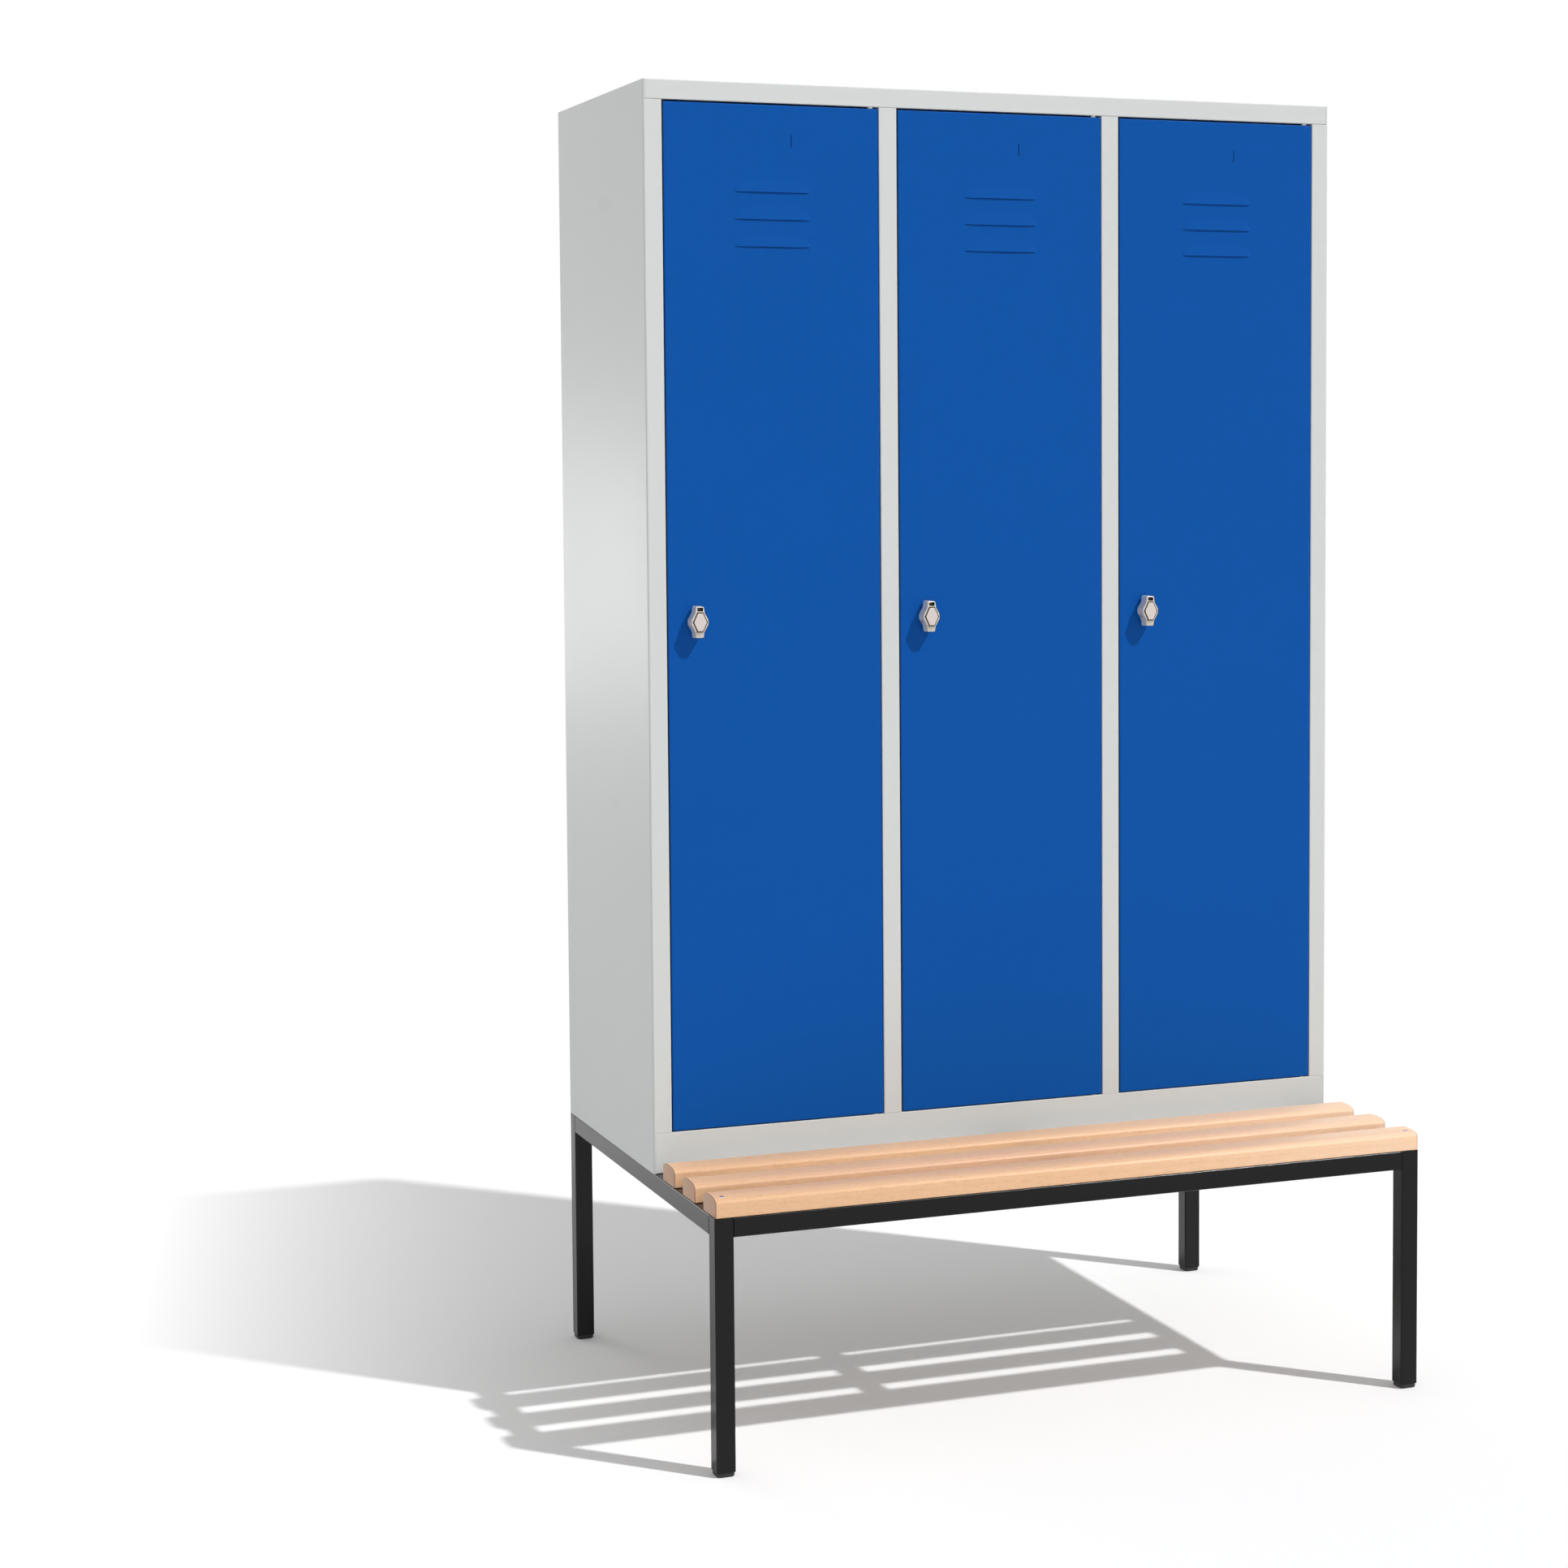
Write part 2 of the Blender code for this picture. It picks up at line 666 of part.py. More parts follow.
def door_skin():
    """Door pressed from one sheet, round its pivot axis with its lower edge on z = 0."""
    bm = bmesh.new()
    bmesh.ops.create_cube(bm, size=1)
    bmesh.ops.scale(bm, vec=(DOOR_WIDTH, DOOR_DEPTH, DOOR_HEIGHT), verts=bm.verts)
    centre = (DOOR_MIDDLE, DOOR_DEPTH / 2 - PIVOT_SETBACK, DOOR_HEIGHT / 2)
    bmesh.ops.translate(bm, vec=centre, verts=bm.verts)
    back = [face for face in bm.faces if face.normal.y > 0.5]
    bmesh.ops.inset_region(bm, faces=back, thickness=DOOR_LIP, use_even_offset=True)
    bmesh.ops.delete(bm, geom=back, context="FACES_ONLY")
    skin = loose_object(from_bmesh(bm))
    add_bevel(skin, DOOR_BEND)
    add_thickness(skin, DOOR_SHEET)

    face = -PIVOT_SETBACK
    hoods = []
    slots = []
    hood = hood_with_ends(LOUVRE_LENGTH, LOUVRE_REACH, LOUVRE_HEIGHT, DOOR_SHEET / 2)
    # The slot's parabola lies one sheet thickness behind the hood's, so it meets the sheet lower down.
    slot_height = LOUVRE_HEIGHT * sqrt(1 - DOOR_SHEET / LOUVRE_REACH)
    slot = hood_form(LOUVRE_LENGTH - 2 * LOUVRE_END, LOUVRE_REACH - DOOR_SHEET, slot_height,
                     DOOR_SHEET / 2, 2 * DOOR_SHEET)
    for row in range(LOUVRE_COUNT):
        z = DOOR_HEIGHT - LOUVRE_FROM_TOP - row * LOUVRE_PITCH
        hoods.append(moved(hood, DOOR_MIDDLE, face, z))
        slots.append(moved(slot, DOOR_MIDDLE, face, z))
    slit_z = DOOR_HEIGHT - LABEL_SLIT_DROP - LABEL_SLIT_LENGTH
    slit = block(LABEL_SLIT_WIDTH, 4 * DOOR_SHEET, LABEL_SLIT_LENGTH)
    slots.append(moved(slit, DOOR_MIDDLE + LABEL_SLIT_OFFSET, face, slit_z))
    neck_hole = prism([circle(NECK_RADIUS + FIT, LARGE_ROUND)], 4 * DOOR_SHEET)
    lock_x, lock_z = lock_place()
    slots.append(moved(neck_hole, lock_x, face + 2 * DOOR_SHEET, lock_z, FACING_FRONT))
    pin_hole = prism([circle(PIN_HOLE)], 4 * DOOR_SHEET)
    slots.append(moved(pin_hole, 0, 0, -2 * DOOR_SHEET))
    slots.append(moved(pin_hole, 0, 0, DOOR_HEIGHT - 2 * DOOR_SHEET))
    return combined(bake(skin), ("UNION", together(hoods)), ("DIFFERENCE", together(slots)))


def lock_place():
    """Place of the turn bolt on its door, across from the pivot and up from the lower edge."""
    return DOOR_FREE_EDGE + LOCK_FROM_EDGE, BASE + LOCK_HEIGHT - DOOR_BOTTOM


def pivot_pin(gap):
    """Riveted pin through the door's edge at z = 0, with a collar that fills the gap to the rail."""
    seat = -DOOR_SHEET - FIT
    collar = gap - FIT
    tip = gap + BODY_SHEET + PIN_ENGAGEMENT
    return turned([
        (0, tip),
        (PIN_RADIUS, tip),
        (PIN_RADIUS, collar),
        (PIN_COLLAR_RADIUS, collar),
        (PIN_COLLAR_RADIUS, FIT),
        (PIN_RADIUS, FIT),
        (PIN_RADIUS, seat),
        (PIN_HEAD_RADIUS, seat),
        (PIN_HEAD_RADIUS, seat - PIN_HEAD_HEIGHT),
        (0, seat - PIN_HEAD_HEIGHT),
    ])


def knob_outline():
    """Knob seen from the front: a round-shouldered middle with a narrower arm above and below."""
    right = [
        (KNOB_ARM_TIP, -KNOB_HALF_HEIGHT, KNOB_TIP_ROUND),
        (KNOB_ARM_ROOT, -KNOB_ARM_START, KNOB_ROOT_ROUND),
        (KNOB_HALF_WIDTH, -KNOB_FLANK, KNOB_FLANK_ROUND),
        (KNOB_HALF_WIDTH, KNOB_FLANK, KNOB_FLANK_ROUND),
        (KNOB_ARM_ROOT, KNOB_ARM_START, KNOB_ROOT_ROUND),
        (KNOB_ARM_TIP, KNOB_HALF_HEIGHT, KNOB_TIP_ROUND),
    ]
    left = [(-x, y, radius) for x, y, radius in reversed(right)]
    return filleted(right + left)


def face_outline(extra):
    """Tall hexagon with softened corners, grown on all sides by extra."""
    top = FACE_HALF_TOP + extra / 2
    high = FACE_HALF_HEIGHT + extra
    wide = FACE_HALF_WIDTH + extra
    return filleted([
        (top, high, FACE_TOP_ROUND),
        (-top, high, FACE_TOP_ROUND),
        (-wide, 0, FACE_SIDE_ROUND),
        (-top, -high, FACE_TOP_ROUND),
        (top, -high, FACE_TOP_ROUND),
        (wide, 0, FACE_SIDE_ROUND),
    ])


def lock_base_mesh():
    """Rosette with its neck through the door, and the lug inside the knob that a shackle passes."""
    rosette = turned([
        (ROSETTE_RADIUS, FIT + ROSETTE_THICKNESS),
        (ROSETTE_RADIUS, FIT),
        (NECK_RADIUS, FIT),
        (NECK_RADIUS, -DOOR_SHEET - FIT),
        (COLLAR_RADIUS, -DOOR_SHEET - FIT),
        (COLLAR_RADIUS, -DOOR_SHEET - FIT - COLLAR_THICKNESS),
        (SPINDLE_RADIUS + FIT, -DOOR_SHEET - FIT - COLLAR_THICKNESS),
        (SPINDLE_RADIUS + FIT, FIT + ROSETTE_THICKNESS),
    ], LARGE_ROUND, ring=True)
    lug_depth = KNOB_CAVITY_DEPTH - FIT + ROSETTE_THICKNESS / 2
    lug_span = SHACKLE_WIDTH + 2 * LUG_WALL
    lug = moved(block(lug_span, LUG_WIDTH, lug_depth), -SHACKLE_OFFSET, 0, FIT + ROSETTE_THICKNESS / 2)
    eye = moved(block(SHACKLE_WIDTH, 2 * LUG_WIDTH, SHACKLE_DEPTH), -SHACKLE_OFFSET, 0, shackle_level())
    return combined(rosette, ("UNION", lug), ("DIFFERENCE", eye))


def shackle_level():
    """Height above the door's face at which the padlock's shackle passes."""
    return ROSETTE_THICKNESS + 2 * FIT + (KNOB_CAVITY_DEPTH - SHACKLE_DEPTH) / 2


def knob_mesh():
    """Turning knob with its spindle, out from the door's face at z = 0."""
    back = ROSETTE_THICKNESS + 2 * FIT
    front = back + KNOB_DEPTH
    body = prism([knob_outline()], KNOB_DEPTH)
    for vertex in body.vertices:
        if vertex.co.z > KNOB_DEPTH / 2:
            vertex.co.x *= KNOB_DRAFT
            vertex.co.y *= (1 + KNOB_DRAFT) / 2
    body = moved(bevelled(body, KNOB_EDGE, 1), z=back)
    groove = prism([face_outline(FACE_GROOVE)], 2 * FACE_GROOVE_DEPTH)
    groove = moved(groove, z=front - FACE_GROOVE_DEPTH)
    face = prism([face_outline(0)], FACE_RAISE + 2 * FACE_GROOVE_DEPTH)
    face = moved(face, z=front - 2 * FACE_GROOVE_DEPTH)
    pocket_y = KNOB_HALF_HEIGHT - POCKET_FROM_TIP - POCKET_HEIGHT / 2
    pocket = moved(block(POCKET_WIDTH, POCKET_HEIGHT, 2 * POCKET_DEPTH), 0, pocket_y, front - POCKET_DEPTH)
    arm_length = KNOB_HALF_HEIGHT - FACE_HALF_HEIGHT - FACE_GROOVE / 2
    arm_step = moved(block(4 * KNOB_ARM_ROOT, 2 * arm_length, 2 * ARM_STEP), 0, -KNOB_HALF_HEIGHT,
                     front - ARM_STEP)
    cavity = moved(prism([circle(KNOB_CAVITY_RADIUS, LARGE_ROUND)], 2 * KNOB_CAVITY_DEPTH), 0, 0,
                   back - KNOB_CAVITY_DEPTH)
    tunnel = moved(block(4 * KNOB_HALF_WIDTH, SHACKLE_WIDTH, SHACKLE_DEPTH), 0, -SHACKLE_OFFSET,
                   shackle_level())
    cam_face = -(STOP_DEPTH + BODY_SHEET + CAM_CLEARANCE)
    rivet = cam_face - CAM_THICKNESS - FIT
    spindle = turned([
        (0, back + KNOB_CAVITY_DEPTH + KNOB_EDGE),
        (SPINDLE_RADIUS, back + KNOB_CAVITY_DEPTH + KNOB_EDGE),
        (SPINDLE_RADIUS, cam_face + FIT),
        (SPINDLE_TIP_RADIUS, cam_face + FIT),
        (SPINDLE_TIP_RADIUS, rivet),
        (SPINDLE_HEAD_RADIUS, rivet),
        (SPINDLE_HEAD_RADIUS, rivet - SPINDLE_HEAD_THICKNESS),
        (0, rivet - SPINDLE_HEAD_THICKNESS),
    ])
    return combined(body, ("DIFFERENCE", groove), ("UNION", face), ("DIFFERENCE", pocket),
                    ("DIFFERENCE", arm_step), ("DIFFERENCE", cavity), ("DIFFERENCE", tunnel),
                    ("UNION", spindle))


def cam_mesh():
    """Flat bolt on the spindle's end, hanging down, long enough to hook behind the post."""
    reach = LOCK_FROM_EDGE + DOOR_SIDE_GAP + CAM_HOOK
    half = CAM_WIDTH / 2
    outline = filleted([
        (-half, half, CAM_TOP_ROUND),
        (-half, -reach, CAM_TIP_ROUND),
        (half, -reach, CAM_TIP_ROUND),
        (half, half, CAM_TOP_ROUND),
    ])
    back = STOP_DEPTH + BODY_SHEET + CAM_CLEARANCE + CAM_THICKNESS
    return moved(prism([outline, circle(SPINDLE_TIP_RADIUS + FIT)], CAM_THICKNESS), z=-back)


def build_doors():
    """Three doors, each with its stiffener, pivot pins and turn bolt, on its own pivot axis."""
    skin = door_skin()
    lock_base = lock_base_mesh()
    knob = knob_mesh()
    cam = cam_mesh()
    top_pin = pivot_pin(DOOR_TOP_GAP)
    bottom_pin = pivot_pin(DOOR_BOTTOM_GAP)
    seat = DOOR_SHEET + FIT - PIVOT_SETBACK
    half = STIFFENER_WIDTH / 2
    wing = half + STIFFENER_FLANGE
    ridge = seat + STIFFENER_DEPTH
    hat_path = [
        (DOOR_MIDDLE - wing, seat),
        (DOOR_MIDDLE - half, seat),
        (DOOR_MIDDLE - half, ridge),
        (DOOR_MIDDLE + half, ridge),
        (DOOR_MIDDLE + half, seat),
        (DOOR_MIDDLE + wing, seat),
    ]
    louvres_end = LOUVRE_FROM_TOP + (LOUVRE_COUNT - 1) * LOUVRE_PITCH
    hat_length = DOOR_HEIGHT - louvres_end - 1.5 * STIFFENER_MARGIN
    lock_x, lock_z = lock_place()
    for index, side in enumerate(COMPARTMENTS):
        hinge = axis_empty("door_axis_" + side, (pivot_x(index), FRONT + PIVOT_SETBACK, DOOR_BOTTOM))
        place("door_" + side, skin, DOOR_PAINT, parent=hinge)
        place_sheet("door_stiffener_" + side, hat_path, hat_length, at=(0, 0, STIFFENER_MARGIN),
                    parent=hinge, material=DOOR_PAINT, bend=DOOR_BEND)
        place("hinge_pin_top_" + side, top_pin, ZINC, (0, 0, DOOR_HEIGHT), parent=hinge)
        place("hinge_pin_bottom_" + side, bottom_pin, ZINC, turn=UPSIDE_DOWN, parent=hinge)
        place("lock_base_" + side, lock_base, NICKEL, (lock_x, -PIVOT_SETBACK, lock_z), FACING_FRONT, hinge)
        bolt = axis_empty("knob_axis_" + side, (lock_x, -PIVOT_SETBACK, lock_z), hinge)
        place("knob_" + side, knob, NICKEL, turn=FACING_FRONT, parent=bolt)
        place("cam_" + side, cam, ZINC, turn=FACING_FRONT, parent=bolt)


def square_tube(length):
    """Length of square tube, standing on z = 0 round the origin."""
    return prism([rectangle(TUBE, TUBE, TUBE_CORNER), rectangle(TUBE - 2 * TUBE_WALL, TUBE - 2 * TUBE_WALL)],
                 length)


def foot_cap_mesh():
    """Plastic cap that the object stands on, with its plug up inside the leg."""
    pad = bevelled(prism([rectangle(FOOT_SIZE, FOOT_SIZE, 2 * TUBE_CORNER)], FOOT_HEIGHT), FOOT_EDGE)
    plug_size = TUBE - 2 * TUBE_WALL - 2 * FIT
    plug = moved(block(plug_size, plug_size, FOOT_PLUG + FOOT_HEIGHT / 2), z=FOOT_HEIGHT / 2)
    return combined(pad, ("UNION", plug))


def build_underframe():
    """Four legs with plastic caps, and the tubes that join them under the seat and the cabinet."""
    leg_bottom = FOOT_HEIGHT + FIT
    leg_length = UNDERFRAME_HEIGHT - leg_bottom
    solid = prism([rectangle(TUBE, TUBE, TUBE_CORNER)], leg_length)
    inside = TUBE - 2 * TUBE_WALL
    hollow = moved(block(inside, inside, leg_length), z=-TUBE_WALL)
    leg = combined(solid, ("DIFFERENCE", hollow))
    cap = foot_cap_mesh()
    hole = prism([circle(SCREW_HOLE)], TUBE)
    depth = LEG_BACK_Y - LEG_FRONT_Y - TUBE - 2 * FIT
    for side, x in (("left", -LEG_X), ("right", LEG_X)):
        for end, y in (("front", LEG_FRONT_Y), ("back", LEG_BACK_Y)):
            post = place("leg_" + end + "_" + side, leg, FRAME_PAINT, (x, y, leg_bottom))
            place("foot_cap_" + end + "_" + side, cap, BLACK_PLASTIC, (x, y, 0))
            if end == "front":
                cut(post, "screw_hole_leg_" + side, hole, (x, y, TUBE_MIDDLE))
        place("side_tube_" + side, square_tube(depth), FRAME_PAINT,
              (x, LEG_BACK_Y - TUBE / 2 - FIT, TUBE_MIDDLE), FACING_FRONT)
    width = 2 * (LEG_X - TUBE / 2 - FIT)
    across = square_tube(width)
    for name, y in (("front", LEG_FRONT_Y), ("cross", CROSS_TUBE_Y), ("back", LEG_BACK_Y)):
        place(name + "_tube", across, FRAME_PAINT, (-width / 2, y, TUBE_MIDDLE), ACROSS)
    span = CROSS_TUBE_Y - LEG_FRONT_Y - TUBE - 2 * FIT
    place("middle_tube", square_tube(span), FRAME_PAINT,
          (0, CROSS_TUBE_Y - TUBE / 2 - FIT, TUBE_MIDDLE), FACING_FRONT)


def slat_outline():
    """Flat base with eased corners, upright sides, and a crown along a superellipse."""
    half = SLAT_WIDTH / 2
    rise = SLAT_HEIGHT - SLAT_SIDE
    power = 2 / CROWN_POWER
    crown = []
    for step in range(CROWN_STEPS + 1):
        angle = pi * step / CROWN_STEPS
        side = half if step < CROWN_STEPS / 2 else -half
        crown.append((side * abs(cos(angle)) ** power, SLAT_SIDE + rise * max(sin(angle), 0) ** power, 0))
    return filleted(crown + [(-half, 0, SLAT_EASE), (half, 0, SLAT_EASE)])


def build_seat():
    """Wooden slats, with the screws that go down through the front one into the legs."""
    length = CABINET_WIDTH - 2 * SLAT_END_INSET
    slat = prism([slat_outline()], length)
    slats = []
    for index in range(SLAT_COUNT):
        y = BENCH_FRONT + index * SLAT_PITCH + SLAT_WIDTH / 2
        slats.append(place("seat_slat_" + str(index + 1), slat, BEECH, (-length / 2, y, SLAT_BASE), ACROSS))
    screw = turned([
        (0, SCREW_HEAD_HEIGHT),
        (SCREW_HEAD_TOP, SCREW_HEAD_HEIGHT),
        (SCREW_HEAD_RADIUS, SCREW_HEAD_EDGE),
        (SCREW_HEAD_RADIUS, 0),
        (SCREW_RADIUS, 0),
        (SCREW_RADIUS, -SCREW_LENGTH),
        (0, -SCREW_LENGTH),
    ])
    hole = prism([circle(SCREW_HOLE)], 2 * SLAT_HEIGHT)
    recess = prism([circle(SCREW_HEAD_RADIUS + FIT)], SLAT_HEIGHT)
    recess_level = SLAT_BASE + SLAT_HEIGHT - SCREW_RECESS
    for side, x in (("left", -LEG_X), ("right", LEG_X)):
        cut(slats[0], "slat_hole_" + side, hole, (x, LEG_FRONT_Y, SLAT_BASE - SLAT_HEIGHT / 2))
        cut(slats[0], "slat_recess_" + side, recess, (x, LEG_FRONT_Y, recess_level))
        place("seat_screw_" + side, screw, ZINC, (x, LEG_FRONT_Y, recess_level + FIT))


build_side_panels()
build_rails()
build_posts_and_partitions()
build_back_top_and_floor()
build_shelves_and_rods()
build_door_buffers()
build_doors()
build_underframe()
build_seat()
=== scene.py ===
"""Looks for a steel locker that stands on a tube frame with a slatted bench.

The packed solids are loaded as a fixed frame. Each operator then dresses one group of pieces
with finer surfaces and a procedural finish, and the last one sets a pale studio round them.
Lengths are in metres, +Z is up and the doors face -Y.
"""

from math import pi, radians

import bmesh
import bpy
import numpy as np
from bpy.props import FloatProperty, FloatVectorProperty, IntProperty, PointerProperty
from mathutils import Euler, Matrix, Vector


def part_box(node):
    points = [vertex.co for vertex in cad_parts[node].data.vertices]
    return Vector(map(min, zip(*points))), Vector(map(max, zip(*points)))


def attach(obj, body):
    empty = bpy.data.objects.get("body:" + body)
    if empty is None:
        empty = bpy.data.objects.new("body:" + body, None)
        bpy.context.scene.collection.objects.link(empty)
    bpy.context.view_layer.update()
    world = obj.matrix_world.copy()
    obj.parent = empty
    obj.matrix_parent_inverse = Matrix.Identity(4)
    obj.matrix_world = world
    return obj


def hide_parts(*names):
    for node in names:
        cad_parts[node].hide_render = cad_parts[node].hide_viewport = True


bl_info = {
    "name": "Locker with bench",
    "version": (1, 0, 0),
    "blender": (4, 5, 0),
    "location": "3D View > Sidebar > Locker",
    "description": "Dresses a steel locker with a slatted bench and sets a studio round it",
    "category": "Object",
}

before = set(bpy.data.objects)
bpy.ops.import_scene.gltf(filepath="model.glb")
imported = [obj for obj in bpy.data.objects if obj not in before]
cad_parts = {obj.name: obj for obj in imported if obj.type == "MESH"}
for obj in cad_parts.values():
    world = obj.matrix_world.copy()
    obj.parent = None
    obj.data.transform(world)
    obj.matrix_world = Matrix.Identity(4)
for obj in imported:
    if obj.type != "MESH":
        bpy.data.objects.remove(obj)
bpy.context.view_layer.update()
ROOT = "locker_and_bench"
COMPARTMENTS = ("left", "middle", "right")
WALL_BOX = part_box("side_panel_left")
TOP_RAIL_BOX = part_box("top_rail")
BOTTOM_RAIL_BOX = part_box("bottom_rail")

SIDE = -WALL_BOX[0].x
FRONT = WALL_BOX[0].y
BACK = WALL_BOX[1].y
BASE = WALL_BOX[0].z
TOP = WALL_BOX[1].z

LEG_PLACES = [f"{end}_{side}" for end in ("front", "back") for side in ("left", "right")]

# Scuffs on the left wall: place along Y and Z, half width and half height
SCUFFS = ((0.13, 1.915, 0.050, 0.018), (0.10, 0.955, 0.035, 0.010))
# Spot welds down the back folds
WELD_PITCH, WELD_RADIUS = 0.15, 0.0034
# Points that lie nearer together than this are one point
MERGE = 0.0000005
# Power of the curve across a vent's hood
HOOD_POWER = 1.2
# Coat rods: radius outside and inside, and the thickness of the flanges
ROD_RADIUS, ROD_BORE, ROD_FLANGE = 0.008, 0.0065, 0.002
# Hinge pins: radius of the pin, its collar and its riveted head
PIN_RADIUS, COLLAR_RADIUS, RIVET_RADIUS = 0.0030, 0.0052, 0.0042
# Knob, half of its outline: (across, up, radius) from the lower arm's end to the waist
ARM_END, ARM_END_ROUND = 0.0068, 0.0020
ARM_ROOT, ARM_ROOT_UP, ARM_ROOT_ROUND = 0.0080, 0.0150, 0.0060
WAIST_UP, WAIST_ROUND = 0.0035, 0.0050
# Knob's face: half width and height of the hexagon's top, its half width, and two corner radii
FACE_TOP, FACE_HIGH, FACE_WIDE, FACE_ROUND, FACE_WAIST_ROUND = 0.0040, 0.0138, 0.0104, 0.001, 0.005
# Knob's rims, and how much narrower and lower its front is
BACK_EASE, FRONT_EASE, FACE_EASE, GROOVE_EASE = 0.0006, 0.0014, 0.0005, 0.0002
NARROWER, LOWER = 0.08, 0.04
# Pocket in the knob's upper arm: width, height, corner, depth and drop below the arm's end
POCKET_WIDTH, POCKET_HEIGHT, POCKET_ROUND = 0.0095, 0.0062, 0.0008
POCKET_DEPTH, POCKET_DROP = 0.007, 0.0018
# Step in the knob's lower arm: where it starts and how deep it is
STEP_UP, STEP_DEPTH = -0.0144, 0.0030
# Hollow behind the knob, and how far its spindle reaches into it
HOLLOW_RADIUS, HOLLOW_DEPTH, SPINDLE_REACH = 0.0127, 0.012, 0.013
# Eyes for a shackle: the two ends across, the first level and the height, and the lug round one
EYE_NEAR, EYE_FAR, EYE_LEVEL, EYE_HEIGHT = 0.00525, 0.01085, 0.0025, 0.0070
LUG_WALL, LUG_HALF, LUG_LOW, LUG_HIGH = 0.0008, 0.004, 0.0018, 0.0150
# Spindle's end: the neck through the cam and the riveted head on it
CAM_NECK, CAM_RIVET, CAM_RIVET_HEIGHT = 0.0032, 0.0050, 0.0015
# Rosette: radius of its opening, its neck and the clip behind the door, and the clip's thickness
ROSETTE_BORE, ROSETTE_NECK, CLIP_RADIUS, CLIP_THICKNESS = 0.0102, 0.0070, 0.0086, 0.0012
# Tubes, legs and foot caps: corner inside a tube, easing of a leg's top and of a cap's two rims
# (across, up), a cap's corner radius and the easing of its plug
INSIDE_CORNER, LEG_EASE = 0.0006, 0.0006
CAP_LOWER, CAP_UPPER = (0.0050, 0.0025), (0.0012, 0.0006)
CAP_CORNER, PLUG_EASE = 0.006, 0.001
# Seat screws: radius of head and shank, height of rim and dome, and the length, width and floor
# of the cross in the head
HEAD_RADIUS, SHANK_RADIUS, HEAD_RIM, HEAD_DOME = 0.0040, 0.0020, 0.0006, 0.0020
CROSS_LENGTH, CROSS_WIDTH, CROSS_FLOOR = 0.0044, 0.0006, 0.0014
# Holes for the screws: radius in the tube and the slat, and radius and depth for the head
SHANK_HOLE, HEAD_HOLE, HEAD_SUNK = 0.0023, 0.0043, 0.0030


def middle_of(node):
    """Middle of a CAD node's box."""
    return [(low + high) / 2 for low, high in zip(*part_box(node))]


# Sizes and colours that can be changed

def number(default, note, **more):
    """A number."""
    return FloatProperty(description=note, default=default, **more)


def length(default, note):
    """A length that is shown in metres."""
    return number(default, note, unit="LENGTH", precision=5)


def vector(default, note, **more):
    """A row of numbers."""
    return FloatVectorProperty(description=note, default=default, size=len(default), **more)


def colour(default, note):
    """A linear colour."""
    return vector(default, note, subtype="COLOR", min=0, max=1)


class SheetSizes(bpy.types.PropertyGroup):
    """Folded sheet steel of the cabinet."""
    body_sheet: length(0.0008, "Thickness of the cabinet's sheets")
    corner_bend: length(0.0030, "Outer radius of the cabinet's upright edges")
    small_bend: length(0.0013, "Outer radius of the smaller folds")
    back_flange: length(0.015, "Fold of the side walls round the back")
    post_width: length(0.030, "Face of the posts beside the doors")
    stop_depth: length(0.0216, "Depth at which the posts turn in behind the doors")
    stop_lip: length(0.012, "Reach of the posts behind the doors")
    rail_flange: length(0.018, "Depth of the rails above and below the doors")
    clearance: length(0.0003, "Gap between pieces that touch")


class DoorSizes(bpy.types.PropertyGroup):
    """Pressed steel doors."""
    sheet: length(0.0010, "Thickness of a door's sheet")
    edge: length(0.0016, "Outer radius of a door's edges")
    depth: length(0.018, "Depth of a door's folded edges")
    lip: length(0.012, "Width of the fold at a door's back")
    louvres: IntProperty(description="Vents in a door", default=3, min=1)
    louvre_length: length(0.125, "Width of a vent's hood")
    louvre_height: length(0.021, "Height of a vent's hood")
    louvre_reach: length(0.0018, "How far a vent's hood stands out")
    louvre_pitch: length(0.0423, "Distance from vent to vent")
    louvre_drop: length(0.135, "Distance of the top vent's slit under the door's upper edge")
    slit_length: length(0.020, "Height of the upright slit for a name plate")
    slit_width: length(0.0012, "Width of that slit")
    slit_drop: length(0.046, "Distance of that slit under the door's upper edge")
    slit_offset: length(0.032, "Distance of that slit from the door's middle")
    pivot_inset: length(0.011, "Distance of the pivot from the door's right edge")
    pivot_setback: length(0.006, "Distance of the pivot behind the door's face")
    pivot_hole: length(0.0033, "Radius of the pivot's holes")
    lock_inset: length(0.045, "Distance of the turn bolt from the door's left edge")
    neck_hole: length(0.0073, "Radius of the hole for the turn bolt")


class BoltSizes(bpy.types.PropertyGroup):
    """Turn bolts for a padlock."""
    half_height: length(0.0250, "Half of the knob's height")
    half_width: length(0.0145, "Half of the knob's width")
    depth: length(0.0200, "How far the knob stands out from its rosette")
    rosette: length(0.0132, "Radius of the rosette")
    rosette_thickness: length(0.0030, "Thickness of the rosette")
    face_raise: length(0.0016, "How far the knob's face stands proud")
    groove: length(0.0011, "Width of the groove round the knob's face")
    groove_depth: length(0.0016, "Depth of the groove round the knob's face")
    spindle: length(0.0040, "Radius of the spindle")


class BenchSizes(bpy.types.PropertyGroup):
    """Square tubes and wooden slats."""
    tube_wall: length(0.0020, "Wall of the square tubes")
    tube_corner: length(0.0025, "Outer corner radius of the square tubes")
    slat_side: length(0.021, "Height of a slat's upright sides")
    slat_ease: length(0.0015, "Rounding of a slat's lower edges")
    slat_end: length(0.0009, "Easing of a slat's sawn ends")
    crown: number(2.4, "Power of the curve across a slat's top")
    grain: number(1.0, "How strongly the slats' grain shows")


